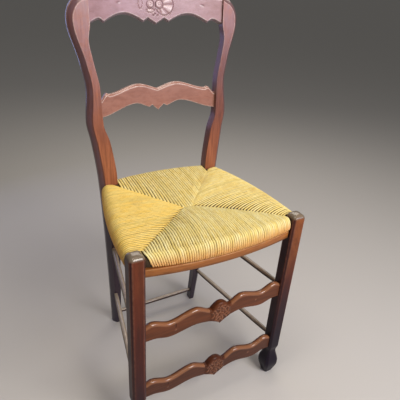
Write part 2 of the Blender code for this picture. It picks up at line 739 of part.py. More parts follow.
def box_loops(low, high):
    corners = ((low[0], low[1]), (high[0], low[1]), (high[0], high[1]), (low[0], high[1]))
    return [[(x, y, z) for x, y in corners] for z in (low[2], high[2])]


def make_rush_seat():
    """Raised between the legs where it rolls over the rails, a little dished where the seams meet."""
    rear_y = post_axis_y(RAIL_Z)
    corners = ((-side_rail_x(FRONT_RAIL_Y), FRONT_RAIL_Y), (side_rail_x(FRONT_RAIL_Y), FRONT_RAIL_Y),
               (side_rail_x(rear_y), rear_y), (-side_rail_x(rear_y), rear_y))
    ridge_y = (FRONT_RAIL_Y + rear_y) / 2 - RIDGE_FORWARD
    ridge_left, ridge_right = -RIDGE_LEFT - RIDGE_HALF, -RIDGE_LEFT + RIDGE_HALF
    ridge = [(x, ridge_y) for x in (ridge_left, ridge_right, ridge_right, ridge_left)]
    seam_share = RUSH_STATIONS[3]
    outward = ((0, -1), (1, 0), (0, 1), (-1, 0))
    bulges = (RUSH_FRONT_BULGE, RUSH_SIDE_BULGE, RUSH_REAR_BULGE, RUSH_SIDE_BULGE)

    def ring(inset, turn, lift, seam):
        """Points round the seat: inset goes from the rails to the ridge, turn from below to above."""
        points = []
        for k, (normal, bulge) in enumerate(zip(outward, bulges)):
            following = (k + 1) % len(corners)
            first, second = [[c + (r - c) * inset for c, r in zip(corners[i], ridge[i])]
                             for i in (k, following)]
            along = -1 if k in (0, 1) else 1
            for share in RUSH_STATIONS:
                x, y = [a + (b - a) * share for a, b in zip(first, second)]
                if k == 0 and share:
                    rail_x = corners[0][0] + (corners[1][0] - corners[0][0]) * share
                    y += (front_line(rail_x) - FRONT_RAIL_Y) * (1 - inset)
                swell = 4 * share * (1 - share)
                out = math.cos(turn) * (ROLL_RADIUS + bulge * swell)
                beside = along * math.cos(turn) * ROLL_RADIUS * (1 - 2 * share)
                x += normal[0] * out + abs(normal[1]) * beside
                y += normal[1] * out + abs(normal[0]) * beside
                cover = RAIL_RADIUS + RUSH_TOP + RUSH_RISE * swell * (1 - inset)
                reach = cover if turn > 0 else ROLL_RADIUS
                groove = seam * max(0, 1 - min(share, 1 - share) / seam_share)
                points.append((x, y, RAIL_Z + reach * math.sin(turn) + lift - groove))
        return points

    quarter = math.pi / 2
    loops = [ring(inset, -quarter, RUSH_HOLLOW * inset, 0) for inset in reversed(RUSH_INSETS)]
    loops += [ring(0, turn, 0, 0) for turn in between(-quarter, quarter, ROLL_STEPS) + [quarter]]
    for inset in RUSH_INSETS:
        hump = math.sin(math.pi * inset)
        loops.append(ring(inset, quarter, RUSH_CROWN * hump - RUSH_DISH * inset, RUSH_SEAM * hump))
    clear = LEG_SIDE
    low = RAIL_Z - ROLL_RADIUS - clear
    high = RAIL_Z + ROLL_RADIUS + clear
    for side, sign in SIDES:
        leg = (sign * (LEG_X - LEG_HALF - JOINT_GAP), sign * (LEG_X + LEG_HALF + clear))
        leg_back = LEG_Y + LEG_HALF + JOINT_GAP
        leg_room = box_loops((min(leg), LEG_Y - LEG_HALF - clear, low), (max(leg), leg_back, high))
        add_mortise("rush_seat", leg_room)
        inner = min(smooth(POST_INNER, low), smooth(POST_INNER, high)) - JOINT_GAP
        post = (sign * inner, sign * (inner + POST_WIDTH_SEAT + clear))
        front = min(post_front(low), post_front(RAIL_Z), post_front(high)) - JOINT_GAP
        post_room = box_loops((min(post), front, low), (max(post), front + POST_DEPTH_SEAT + clear, high))
        add_mortise("rush_seat", post_room)
    finish = material("rush_seat_rush", STRAW, RUSH_ROUGHNESS)
    return add_object("rush_seat", loft(loops), finish)


posts = [wood_object("rear_post_" + side, loft(post_loops(sign)), POST_BROWN) for side, sign in SIDES]
legs = [wood_object("front_leg_" + side, loft(leg_loops(sign)), LEG_BROWN) for side, sign in SIDES]
make_crest()
make_slat()
make_foot_rail("foot_rail_upper", FOOT_RAIL_UPPER)
make_foot_rail("foot_rail_lower", FOOT_RAIL_LOWER)
for side_name, side_sign in SIDES:
    make_side_rung("upper", side_name, side_sign, SIDE_RUNG_UPPER)
    make_side_rung("lower", side_name, side_sign, SIDE_RUNG_LOWER)
    make_side_apron(side_name, side_sign)
make_rear_rung()
make_front_apron()
make_seat_rails()
rush = make_rush_seat()
for receiver in posts + legs + [rush]:
    cut_mortises(receiver)

# The origin is under the middle of the whole stool's box
pieces = [piece for piece in stool.children if not piece.hide_render]
depths = [vertex.co.y for piece in pieces for vertex in piece.data.vertices]
stool.location.y = -(min(depths) + max(depths)) / 2
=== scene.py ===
import math
import random

import bmesh
import bpy
from mathutils import Matrix, Vector


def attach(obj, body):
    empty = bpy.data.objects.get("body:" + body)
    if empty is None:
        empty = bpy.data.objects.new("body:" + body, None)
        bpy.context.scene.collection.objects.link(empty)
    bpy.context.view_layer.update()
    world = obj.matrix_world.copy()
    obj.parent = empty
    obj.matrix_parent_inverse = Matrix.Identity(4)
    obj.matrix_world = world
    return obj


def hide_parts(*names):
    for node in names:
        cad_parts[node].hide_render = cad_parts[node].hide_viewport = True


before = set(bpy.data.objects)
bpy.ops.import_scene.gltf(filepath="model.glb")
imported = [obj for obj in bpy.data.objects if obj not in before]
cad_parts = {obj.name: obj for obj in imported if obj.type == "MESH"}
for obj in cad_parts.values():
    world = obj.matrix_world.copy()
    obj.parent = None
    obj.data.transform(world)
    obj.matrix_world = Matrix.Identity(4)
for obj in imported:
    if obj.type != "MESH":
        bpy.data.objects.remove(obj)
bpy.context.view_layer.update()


# Rear posts: each is sawn in one piece from a hardwood plank, from the floor up to the ear beside the crest.
# The front is planed flat, its outer arris is worked into a broad chamfer, and the whole is stained brown and
# wiped with satin varnish. Mortises in the inner edge and the front take the slat, the rails and the rungs.

SEAT_HEIGHT = 0.612
SEAT_MIDDLE_Y = -0.02206
SEAT_HALF_DEPTH = 0.1925
POST_Y = SEAT_MIDDLE_Y + SEAT_HALF_DEPTH
POST_TOP = 1.115
POST_TOP_LAND = 0.020
CREST_BASE = 1.042
CREST_HEIGHT = POST_TOP - CREST_BASE
CREST_JOINT_X = 0.194
EAR_Z = 1.052
EAR_X = 0.249
POST_CHAMFER = 0.0135
CHAMFER_SHARE = 0.45
CHAMFER_BEND = (0.42, 0.52)
CHAMFER_BACK = 1.1
POST_LEVEL_PITCH = 0.008
EAR_STEPS = 26
POST_OUTER = ((0, 0.173), (0.612, 0.2005), (0.734, 0.2129), (0.790, 0.2215), (0.882, 0.214),
              (0.955, 0.226), (EAR_Z, EAR_X), (POST_TOP, CREST_JOINT_X))
POST_INNER = ((0, 0.145), (0.612, 0.1495), (0.734, 0.1639), (0.790, 0.1795), (0.882, 0.181),
              (0.955, 0.193), (1.007, 0.2005), (CREST_BASE, CREST_JOINT_X))
POST_DEPTHS = ((0, 0.029), (SEAT_HEIGHT, 0.033), (POST_TOP, 0.027))
FOOT_BACK = 0.040
FOOT_KICK_POWER = 1.6
BACK_RAKE = 0.0766
RAKE_BLEND = 0.060
# Painted sheen: the upper posts take the mauve haze colour as painted reflection
POST_PAINTED_SHEEN = ((0, 0), (0.72, 0), (0.98, 0.6), (POST_TOP, 0.75))
# Painted shade: darker below the seat, on the chamfer and sides, and on the right post's front at mid height
POST_PAINTED_SHADE = ((0, 0.95), (0.50, 0.85), (0.60, 0), (POST_TOP, 0))
POST_WORN = ((0, 0), (0.70, 0), (0.95, 0.3), (1.04, 0.9), (POST_TOP, 0.9))
POST_SIDE_PAINTED_SHEEN = 0.8
POST_SIDE_PAINTED_SHADE = 0.5
POST_SIDE_INSETS = (0.003, 0.001)
POST_FRONT_PAINTED_SHADE = {-1: ((0, 0), (POST_TOP, 0)),
               1: ((0, 0), (0.66, 0.05), (0.80, 0.42), (0.93, 0.38), (1.04, 0.1), (POST_TOP, 0.05))}
SIDES = (("left", -1), ("right", 1))
WORN_RADIUS = 0.0015
ROUND_SHARE = 0.40
HOLD_SHARE = 0.48
PLANK_SIZE = 3
SHARP_ANGLE = math.radians(50)


def linear(code):
    """Linear colour of an sRGB hex code."""
    channels = [int(code[i:i + 2], 16) / 255 for i in (0, 2, 4)]
    return [c / 12.92 if c <= 0.04045 else ((c + 0.055) / 1.055) ** 2.4 for c in channels] + [1]


def fill_sockets(tree, node, inputs):
    """Give named or numbered sockets of a node a value, or an output to link from."""
    for socket, value in inputs.items():
        if isinstance(value, bpy.types.NodeSocket):
            tree.links.new(value, node.inputs[socket])
        else:
            node.inputs[socket].default_value = value


def add_node(tree, kind, inputs=None, **settings):
    """Add a shader node with its settings, its values and its links."""
    node = tree.nodes.new(kind)
    for name, value in settings.items():
        setattr(node, name, value)
    fill_sockets(tree, node, inputs or {})
    return node


def new_finish(name):
    """A new material, with its node tree and its shader."""
    finish = bpy.data.materials.new(name)
    finish.use_nodes = True
    return finish, finish.node_tree, finish.node_tree.nodes["Principled BSDF"]


def varnished_wood(pieces, stain, shade, painted_shade_and_stain, worn, faded_and_painted_light, handled_and_sheen, roughness, coat, coat_roughness,
                   specular):
    """Hardwood, stained and wiped with satin varnish: a warm brown with straight darker grain, cloudy where
    the stain took unevenly, paler along rubbed edges, and softly glossy so that it picks up pale light. Where
    hands or feet polish it, it takes a pale colour and shines; on leg tops, rail tops and rung tops that
    colour is partly painted reflection and highlight. Without a coat, only that part shines. The haze and
    darkest colours also carry painted sheen, painted light and painted shade."""
    finish, tree, shader = new_finish("hardwood_stained_satin_varnish_" + pieces)
    grain = add_node(tree, "ShaderNodeAttribute", attribute_name="grain").outputs["Vector"]
    surface = add_node(tree, "ShaderNodeAttribute", attribute_name="surface")
    wear, polish, haze_and_light = add_node(tree, "ShaderNodeSeparateColor", {0: surface.outputs["Color"]}).outputs[:3]
    shade_and_stain = surface.outputs["Alpha"]
    # Each pattern has its repeats in a metre across and along the grain, and the noise range that fills its
    # share from least to most
    noises, shares = {}, {}
    for pattern, across, along, kind, low, high, least, most in (
            # Growth rings, cut lengthwise: bands about 6 mm wide that run on for 150 mm
            ("rings", 167, 6.7, {"Detail": 3, "Roughness": 0.55, "Distortion": 0.5}, 0.4, 0.62, 0, 0.7),
            # Pores: 0.3 mm wide and 5 mm long in the wood, drawn 1.3 mm by 22 mm so that they show
            ("pores", 770, 45, {"Detail": 2, "Roughness": 0.6}, 0.52, 0.72, 0, 0.45),
            # Clouds of heavier stain, about 50 mm across and longer with the grain
            ("clouds", 20, 9, {"Detail": 3}, 0.4, 0.75, 0, 0.5),
            # Old varnish that has hazed or faded in patches of 15 mm by 25 mm
            ("haze", 66, 40, {"Detail": 5, "Roughness": 0.65}, 0.38, 0.6, 0.45, 0.9),
            # Rubbed arrises: the stain is worn in patches 12 mm long
            ("rubbed", 120, 80, {"Detail": 2}, 0.35, 0.7, 0.25, 0.7)):
        space = add_node(tree, "ShaderNodeVectorMath", {0: grain, 1: (across, across, along)},
                         operation="MULTIPLY")
        noise = add_node(tree, "ShaderNodeTexNoise", {"Vector": space.outputs[0], "Scale": 1, **kind})
        share = add_node(tree, "ShaderNodeMapRange", {"Value": noise.outputs[0], "From Min": low,
                                                      "From Max": high, "To Min": least, "To Max": most})
        noises[pattern], shares[pattern] = noise.outputs[0], share.outputs[0]
    # The haze colour is faded varnish on the crest and slat, painted sheen on the posts and painted light on
    # the legs' fronts
    haze_and_light_share = add_node(tree, "ShaderNodeMath", {0: haze_and_light, 1: shares["haze"]}, operation="MULTIPLY").outputs[0]
    edged = add_node(tree, "ShaderNodeMath", {0: wear, 1: shares["rubbed"]}, operation="MULTIPLY").outputs[0]
    handled_and_sheen_share = add_node(tree, "ShaderNodeMath", {0: polish, 1: 0.8}, operation="MULTIPLY").outputs[0]
    # The colours lie over each other: grain; haze, which on the posts is painted sheen and on the legs'
    # fronts painted light; painted shade in chamfers, on sides and undersides and low down, which in carved
    # hollows is the darker stain; rubbed arrises; and last what hands and feet have greyed or rubbed pale,
    # which on leg tops, rail tops and rung tops is also painted reflection and highlight
    colour = linear(stain)
    for share, code in ((shares["rings"], shade), (shares["pores"], shade), (shares["clouds"], shade),
                        (haze_and_light_share, faded_and_painted_light), (shade_and_stain, painted_shade_and_stain), (edged, worn), (handled_and_sheen_share, handled_and_sheen)):
        colour = add_node(tree, "ShaderNodeMix", {0: share, 6: colour, 7: linear(code)},
                          data_type="RGBA").outputs[2]
    # Satin, uneven with the stain, and waxed nearly to a mirror where it is polished
    satin = add_node(tree, "ShaderNodeMapRange", {"Value": noises["clouds"], "From Min": 0.3, "From Max": 0.7,
                                                  "To Min": roughness - 0.05, "To Max": roughness + 0.06})
    sheen = add_node(tree, "ShaderNodeMix", {0: polish, 2: satin.outputs[0], 3: 0.15}, data_type="FLOAT")
    relief = add_node(tree, "ShaderNodeMath", {0: noises["rings"], 1: noises["pores"]}, operation="ADD")
    bump = add_node(tree, "ShaderNodeBump", {"Height": relief.outputs[0], "Strength": 0.12,
                                             "Distance": 0.0007})
    fill_sockets(tree, shader, {"Base Color": colour, "Roughness": sheen.outputs[0],
                                "Normal": bump.outputs[0], "Coat Weight": polish if coat is None else coat,
                                "Coat Roughness": coat_roughness, "Specular IOR Level": specular})
    return finish


def clamp(value):
    return min(1, max(0, value))


def smooth(knots, position):
    """Value at position on a curve through knots, which keeps each high and low knot as its extreme."""
    slopes = [(b[1] - a[1]) / (b[0] - a[0]) for a, b in zip(knots, knots[1:])]
    inner = [2 * a * b / (a + b) if a * b > 0 else 0 for a, b in zip(slopes, slopes[1:])]
    tangents = [slopes[0]] + inner + [slopes[-1]]
    last = len(knots) - 2
    i = next((k for k in range(last) if position <= knots[k + 1][0]), last)
    (x0, y0), (x1, y1) = knots[i], knots[i + 1]
    span = x1 - x0
    t = (position - x0) / span
    bend = (2 * t - 3) * t * t
    start_pull = t * (t - 1) ** 2 * span * tangents[i]
    end_pull = t * t * (t - 1) * span * tangents[i + 1]
    return y0 * (1 + bend) - y1 * bend + start_pull + end_pull


def fine_levels(marks, pitch):
    """Positions at every mark and evenly between neighbours, no further apart than pitch."""
    levels = []
    for start, end in zip(marks, marks[1:]):
        count = max(1, math.ceil((end - start) / pitch))
        levels += [start + (end - start) * k / count for k in range(count)]
    return levels + [marks[-1]]


def eased(corners, steps=4, margin=0.0015):
    """Outline of (across, back, wear, darkening) points through (across, back, radius, fill, darkening)
    corners. Each is rounded to its radius, and a sharp one is marked as worn; fill points and the darkening,
    which is painted shade and, in carved hollows, stain, are for the flat after it."""
    rounds = []
    for k, (x, y, radius, fill, shade_and_stain) in enumerate(corners):
        corner = Vector((x, y))
        last_shade_and_stain = corners[k - 1][4]
        ends = []
        for other in (corners[k - 1], corners[(k + 1) % len(corners)]):
            arm = Vector(other[:2]) - corner
            reach = min(radius, arm.length * ROUND_SHARE)
            hold = min(reach + margin, arm.length * HOLD_SHARE)
            ends.append((corner + arm.normalized() * reach, corner + arm.normalized() * hold))
        (start, lead), (end, trail) = ends
        wear = clamp(2 - radius / WORN_RADIUS)
        points = [(lead, 0, last_shade_and_stain)]
        for step in range(steps + 1):
            t = step / steps
            points.append((start * (1 - t) ** 2 + corner * 2 * t * (1 - t) + end * t * t, wear,
                           last_shade_and_stain + (shade_and_stain - last_shade_and_stain) * t))
        points.append((trail, 0, shade_and_stain))
        rounds.append(points)
    outline = []
    for k, points in enumerate(rounds):
        fill, shade_and_stain = corners[k][3:]
        first, second = points[-1][0], rounds[(k + 1) % len(rounds)][0][0]
        outline += points
        outline += [(first.lerp(second, (j + 1) / (fill + 1)), 0, shade_and_stain) for j in range(fill)]
    return [(point.x, point.y, wear, shade_and_stain) for point, wear, shade_and_stain in outline]


def loft_faces(rings, count):
    """The walls between a number of rings, each of count points, and the two ends."""
    faces = []
    for r in range(rings - 1):
        a, b = r * count, (r + 1) * count
        for i in range(count):
            j = (i + 1) % count
            faces.append((a + i, a + j, b + j, b + i))
    faces.append(tuple(reversed(range(count))))
    faces.append(tuple(range((rings - 1) * count, rings * count)))
    return faces


def add_mesh(name, points, faces, finish):
    """A new object of one mesh, its faces turned outwards and shaded smooth."""
    mesh = bpy.data.meshes.new(name)
    mesh.from_pydata(points, [], faces)
    shaper = bmesh.new()
    shaper.from_mesh(mesh)
    bmesh.ops.recalc_face_normals(shaper, faces=shaper.faces)
    shaper.to_mesh(mesh)
    shaper.free()
    mesh.materials.append(finish)
    mesh.shade_smooth()
    piece = bpy.data.objects.new(name, mesh)
    bpy.context.scene.collection.objects.link(piece)
    return piece


def add_wood(name, rings, along, finish, slot, *stood_for):
    """A wooden piece through rings of (x, y, z, wear, polish, haze, darkening) points, its grain running
    along one axis. Haze is real on the crest and slat, but painted sheen and painted light on the posts and
    legs;
    darkening is painted shade, and stain in carved hollows."""
    flat = [point for ring in rings for point in ring]
    piece = add_mesh(name, [point[:3] for point in flat], loft_faces(len(rings), len(rings[0])), finish)
    mesh = piece.data
    # Each piece is cut from its own place in the plank
    place = random.Random(name)
    plank = [place.uniform(0, PLANK_SIZE) for _ in range(3)]
    across = [axis for axis in (0, 1, 2) if axis != along] + [along]
    grain = [point[axis] + plank[axis] for point in flat for axis in across]
    mesh.attributes.new("grain", "FLOAT_VECTOR", "POINT").data.foreach_set("vector", grain)
    surface = [value for point in flat for value in point[3:7]]
    mesh.attributes.new("surface", "FLOAT_COLOR", "POINT").data.foreach_set("color", surface)
    mesh.set_sharp_from_angle(angle=SHARP_ANGLE)
    normals = piece.modifiers.new("flat faces stay flat", "WEIGHTED_NORMAL")
    normals.keep_sharp = True
    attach(piece, "root")
    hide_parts(*stood_for)


def post_axis_y(height):
    """The rear leg kicks back below the seat and the back leans back above it."""
    if height < SEAT_HEIGHT:
        return POST_Y + FOOT_BACK * ((SEAT_HEIGHT - height) / SEAT_HEIGHT) ** FOOT_KICK_POWER
    return POST_Y + BACK_RAKE * (math.hypot(height - SEAT_HEIGHT, RAKE_BLEND) - RAKE_BLEND)


def post_front(height):
    return post_axis_y(height) - smooth(POST_DEPTHS, height) / 2


def post_ring(inner, outer, side):
    """Section of a post from its inner to its outer edge point (x, z), its outer front corner chamfered."""
    width = math.dist(inner, outer)
    across = ((outer[0] - inner[0]) / width, (outer[1] - inner[1]) / width)
    depth = smooth(POST_DEPTHS, inner[1])
    cut = min(POST_CHAMFER, width * CHAMFER_SHARE)
    # Painted shade low down, on the chamfer and sides, and on the right post's front
    low = smooth(POST_PAINTED_SHADE, inner[1])
    dark = max(low, POST_SIDE_PAINTED_SHADE)
    front = max(low, smooth(POST_FRONT_PAINTED_SHADE[side], inner[1]))
    # The chamfer is bent in its middle, and runs further back than across
    bend = (width - CHAMFER_BEND[0] * cut, CHAMFER_BEND[1] * cut)
    corners = [(0, 0, 0.0012, 1, front), (width - cut, 0, 0.0008, 0, dark), (*bend, 0.004, 0, dark),
               (width, CHAMFER_BACK * cut, 0.002, 0, dark), (width, depth, 0.004, 1, low),
               (0, depth, 0.003, 0, dark)]
    ring = []
    for reach, back, wear, shade_and_stain in eased(corners):
        height = inner[1] + across[1] * reach
        haze_and_light = smooth(POST_PAINTED_SHEEN, height)
        # The chamfer and the sides take more of the mauve haze colour, as painted reflection
        if POST_SIDE_INSETS[0] < back < depth - POST_SIDE_INSETS[1]:
            haze_and_light = max(haze_and_light, POST_SIDE_PAINTED_SHEEN)
        worn = wear * smooth(POST_WORN, height)
        ring.append((side * (inner[0] + across[0] * reach), post_front(height) + back, height, worn, 0, haze_and_light,
                     shade_and_stain))
    return ring


# The darkest colour is painted shade and the mauve haze colour painted sheen
post_wood = varnished_wood("posts", stain="aa6747", shade="7c462f", painted_shade_and_stain="191730", worn="dcc0b8",
                           faded_and_painted_light="94757c", handled_and_sheen="a8694a", roughness=0.36, coat=0.3, coat_roughness=0.2,
                           specular=0.4)
for side_name, side in SIDES:
    rings = []
    for level in fine_levels((0, SEAT_HEIGHT, CREST_BASE), POST_LEVEL_PITCH):
        inner_edge = (smooth(POST_INNER, level), level)
        outer_edge = (smooth(POST_OUTER, level), level)
        rings.append(post_ring(inner_edge, outer_edge, side))
    for step in range(1, EAR_STEPS + 1):
        share = step / EAR_STEPS
        turn = share * math.pi / 2
        inner_edge = (CREST_JOINT_X, CREST_BASE + (CREST_HEIGHT - POST_TOP_LAND) * share)
        ear_x = CREST_JOINT_X + (EAR_X - CREST_JOINT_X) * math.cos(turn)
        outer_edge = (ear_x, EAR_Z + (POST_TOP - EAR_Z) * math.sin(turn))
        rings.append(post_ring(inner_edge, outer_edge, side))
    name = "rear_post_" + side_name
    add_wood(name + "_turned_out", rings, 2, post_wood, "post_wood", name)


# Front legs: square hardwood with the four arrises chamfered, a pillow-shaped top left standing above the
# rush and polished by hands, and a ball foot under a slim ankle. Stained darker than the back, partly as
# painted shade, with more painted shade on the sides and low down and painted light on the front above, and
# with a varnish that only shines on top.

LEG_X = 0.2315
LEG_Y = SEAT_MIDDLE_Y - SEAT_HALF_DEPTH
LEG_HALF = 0.020
LEG_INSIDE = LEG_X - LEG_HALF
LEG_BACK = LEG_Y + LEG_HALF
LEG_CHAMFER = 0.006
LEG_ARRIS = 0.0016
LEG_TOP = SEAT_HEIGHT + 0.006
DOME_HEIGHT = 0.014
ANKLE_TOP = 0.123
ANKLE_HEIGHT = 0.099
BALL_HEIGHT = 0.046
LEG_HALVES = ((0, 0.015), (BALL_HEIGHT, 0.026), (ANKLE_HEIGHT, 0.0155), (ANKLE_TOP, LEG_HALF),
              (LEG_TOP, LEG_HALF))
# Painted shade, darker towards the floor and more on the right leg, and on the faces other than the front
LEG_PAINTED_SHADE = {-1: ((0, 0.95), (0.12, 0.7), (0.30, 0.3), (0.50, 0.05), (LEG_TOP, 0)),
            1: ((0, 0.97), (0.12, 0.95), (0.30, 0.72), (0.46, 0.15), (LEG_TOP, 0))}
# Painted light on the front face, rising towards the top and stronger on the right leg
LEG_PAINTED_LIGHT_RISE = ((0, 0), (0.36, 0), (0.55, 1), (LEG_TOP, 1))
LEG_SIDE_PAINTED_SHADE = 0.65
LEG_FACING = 0.75
LEG_PAINTED_LIGHT = {-1: 0.2, 1: 0.8}
FOOT_PITCH = 0.003
LEG_PITCH = 0.03
DOME_STEPS = 16
DOME_FULLNESS = 0.57
DOME_NECK = 0.004
DOME_CLOSED = 0.999
DOME_CROWDING = 1.5
DOME_POLISH_FROM = 0.2
DOME_POLISH_SPAN = 0.4


def leg_ring(side, level, half, polish):
    """Section of a leg, its front face painted lighter above as painted light, and its other faces and its
    lower part painted darker as painted shade.
    """
    cut = LEG_CHAMFER * half / LEG_HALF
    flat = half - cut
    corners = [(-half, -flat), (-flat, -half), (flat, -half), (half, -flat),
               (half, flat), (flat, half), (-flat, half), (-half, flat)]
    low = smooth(LEG_PAINTED_SHADE[side], level) * (1 - polish)
    aside = max(low, LEG_SIDE_PAINTED_SHADE * (1 - polish))
    deeps = [aside, low] + [aside] * 6
    outline = eased([(a, b, LEG_ARRIS, 0, shade_and_stain) for (a, b), shade_and_stain in zip(corners, deeps)], steps=3)
    haze_and_light = LEG_PAINTED_LIGHT[side] * smooth(LEG_PAINTED_LIGHT_RISE, level)
    ring = []
    for a, b, wear, shade_and_stain in outline:
        facing = clamp((-b / half - LEG_FACING) / (1 - LEG_FACING))
        worn = wear * (1 - polish) * (1 - low)
        ring.append((side * LEG_X + a, LEG_Y + b, level, worn, polish, haze_and_light * facing, shade_and_stain))
    return ring


# The darkest colour is painted shade, the faded orange painted light, and the grey-olive colour of the
# polished tops partly painted reflection
leg_wood = varnished_wood("legs", stain="682d1d", shade="452014", painted_shade_and_stain="121021", worn="8a5842",
                          faded_and_painted_light="98582e", handled_and_sheen="797160", roughness=0.4, coat=None, coat_roughness=0.17,
                          specular=0.2)
for side_name, side in SIDES:
    shoulder = LEG_TOP - DOME_HEIGHT
    levels = fine_levels((0, BALL_HEIGHT, ANKLE_HEIGHT, ANKLE_TOP), FOOT_PITCH)
    levels += fine_levels((ANKLE_TOP, shoulder - DOME_NECK), LEG_PITCH)[1:]
    rings = [leg_ring(side, level, smooth(LEG_HALVES, level), 0) for level in levels]
    for step in range(DOME_STEPS):
        # Closer together towards the top, and stopped just short of a point
        turn = math.pi / 2 * DOME_CLOSED * (1 - (1 - step / (DOME_STEPS - 1)) ** DOME_CROWDING)
        half = LEG_HALF * math.cos(turn) ** DOME_FULLNESS
        # Polish rises towards the top; its grey-olive colour there is partly painted reflection
        polish = clamp((math.sin(turn) - DOME_POLISH_FROM) / DOME_POLISH_SPAN)
        rings.append(leg_ring(side, shoulder + DOME_HEIGHT * math.sin(turn), half, polish))
    name = "front_leg_" + side_name
    add_wood(name + "_shaped", rings, 2, leg_wood, "leg_wood", name)


# Crest rail: a plank bent back in the middle, scalloped below with points, chamfered along its edges and
# carved in the middle with two rosettes, a scroll and leaves in low relief. Tenons hold it between the ears.

BACK_BOW = 0.028
JOINT_GAP = 0.0004
CREST_HALF = CREST_JOINT_X - JOINT_GAP
CREST_RISE = 0.028
CREST_THICKNESS = 0.019
BACK_SETBACK = 0.008
CREST_CHAMFER = 0.007
CREST_POINT = CREST_BASE - 0.004
CREST_NOTCH = CREST_BASE + 0.010
CREST_CUSP = CREST_BASE + 0.002
CREST_ARCH = 0.020
CREST_MARKS = [CREST_HALF * share for share in (0, 0.126, 0.195, 0.50, 0.79, 0.86, 1)]
CARVING_REACH = 0.064
CARVING_PITCH = 0.0009
RAIL_PITCH = 0.004
CREST_ROWS = 84
ROSETTES = ((-0.0167, 1.0907, 0.0105, 1), (0.0094, 1.0902, 0.0110, -1))
SCROLL_CENTRE = (0.0246, 1.0898)
SCROLL_RADIUS = 0.0262
SCROLL_OPEN = (0.9, 2.9)
SCROLL_LEAVES = 9
UNDER_LEAF = (-0.0165, 1.0752)
UNDER_LEAF_HALVES = (0.0115, 0.0052)
LEFT_SCROLL = (-0.046, 1.092)
LEFT_SCROLL_RADIUS = 0.0125
LEFT_SCROLL_END = -0.058
CREST_DOTS = ((-0.0081, 1.0635), (-0.0030, 1.0672), (0.0041, 1.0630))
CREST_DENTS = ((-0.1094, 1.0938), (0.1364, 1.0914))
ROSETTE_TURNS = 1.6
ROSETTE_REACH = 1.6
ROSETTE_HIGH = 0.0012
GOUGE = 0.0009
DEEP_CUT = (GOUGE, 0.0011)
FINE_CUT = (GOUGE, 0.0008)
LIGHT_CUT = (GOUGE, 0.0007)
DOT_CUT = (0.0019, 0.0015)
DENT_CUT = (0.0025, 0.0011)
LEAF_EDGE = 0.003
LEAF_HIGH = 0.0014
LEAF_SUNK = 0.0004
UNDER_LEAF_HIGH = 0.0016
UNDER_LEAF_MEAN = 0.006
CARVED_HIGH = 0.0009
CARVED_LOW = 0.0018
CARVED_DEEPEST = 0.6


def crest_low(x):
    """Lower edge: a point between two notches in the middle, a long arch, and a short curve at the post."""
    x = abs(x)
    marks = CREST_MARKS
    if x < marks[1]:
        return CREST_POINT + (CREST_NOTCH - CREST_POINT) * x / marks[1]
    if x < marks[2]:
        return CREST_NOTCH + (CREST_CUSP - CREST_NOTCH) * (x - marks[1]) / (marks[2] - marks[1])
    if x < marks[4]:
        return CREST_CUSP + CREST_ARCH * math.sin(math.pi * (x - marks[2]) / (marks[4] - marks[2]))
    return smooth(((marks[4], CREST_CUSP), (marks[5], CREST_NOTCH), (marks[6], CREST_BASE)), x)


def crest_high(x):
    return POST_TOP + CREST_RISE * (1 + math.cos(math.pi * x / CREST_HALF)) / 2


def back_bow(x):
    return BACK_BOW * (1 - (x / CREST_JOINT_X) ** 2)


def groove(distance, half_width, depth):
    """A gouge cut: how far the surface sinks at a distance from its line."""
    return -depth * math.exp(-(distance / half_width) ** 2)


def crest_carving(x, up):
    """Relief of the crest's ornament in metres, out of the face or, below zero, into it."""
    relief = 0
    for centre_x, centre_z, radius, hand in ROSETTES:
        across, rise = (x - centre_x) * hand, up - centre_z
        far = math.hypot(across, rise)
        if far < radius * ROSETTE_REACH:
            turn = math.atan2(rise, across) / (2 * math.pi)
            winding = (far / radius * ROSETTE_TURNS - turn) % 1 - 0.5
            if far < radius:
                relief += ROSETTE_HIGH * (1 - (far / radius) ** 2)
                relief += groove(winding * radius / ROSETTE_TURNS, *FINE_CUT)
            relief += groove(far - radius, *DEEP_CUT)
    across, rise = x - SCROLL_CENTRE[0], up - SCROLL_CENTRE[1]
    far = math.hypot(across, rise)
    turn = math.atan2(rise, across)
    if turn < SCROLL_OPEN[0] or turn > SCROLL_OPEN[1]:
        relief += groove(far - SCROLL_RADIUS, *DEEP_CUT)
    # Leaves fan out from the right rosette to the scroll
    rosette_x, rosette_z, rosette_radius, _ = ROSETTES[1]
    rosette_far = math.hypot(x - rosette_x, up - rosette_z)
    if far < SCROLL_RADIUS and rosette_far > rosette_radius:
        fan = math.atan2(up - rosette_z, x - rosette_x) * SCROLL_LEAVES / math.pi
        leaf = abs(math.sin(math.pi * fan / 2))
        fade = min(1, (SCROLL_RADIUS - far) / LEAF_EDGE, (rosette_far - rosette_radius) / LEAF_EDGE)
        relief += (LEAF_HIGH * leaf - LEAF_SUNK) * fade
    # A leaf under the left rosette, and the line of the matching scroll on its left, half as wide as high
    leaf_far = math.hypot((x - UNDER_LEAF[0]) / UNDER_LEAF_HALVES[0],
                          (up - UNDER_LEAF[1]) / UNDER_LEAF_HALVES[1])
    relief += UNDER_LEAF_HIGH * max(0, 1 - leaf_far ** 2)
    relief += groove((leaf_far - 1) * UNDER_LEAF_MEAN, *LIGHT_CUT)
    if x > LEFT_SCROLL_END:
        left_far = math.hypot((x - LEFT_SCROLL[0]) * 2, up - LEFT_SCROLL[1]) - LEFT_SCROLL_RADIUS
        relief += groove(left_far, *FINE_CUT)
    # Dots below the rosettes, and two old dents
    for spots, cut in ((CREST_DOTS, DOT_CUT), (CREST_DENTS, DENT_CUT)):
        for spot_x, spot_z in spots:
            relief += groove(math.hypot(x - spot_x, up - spot_z), *cut)
    return relief


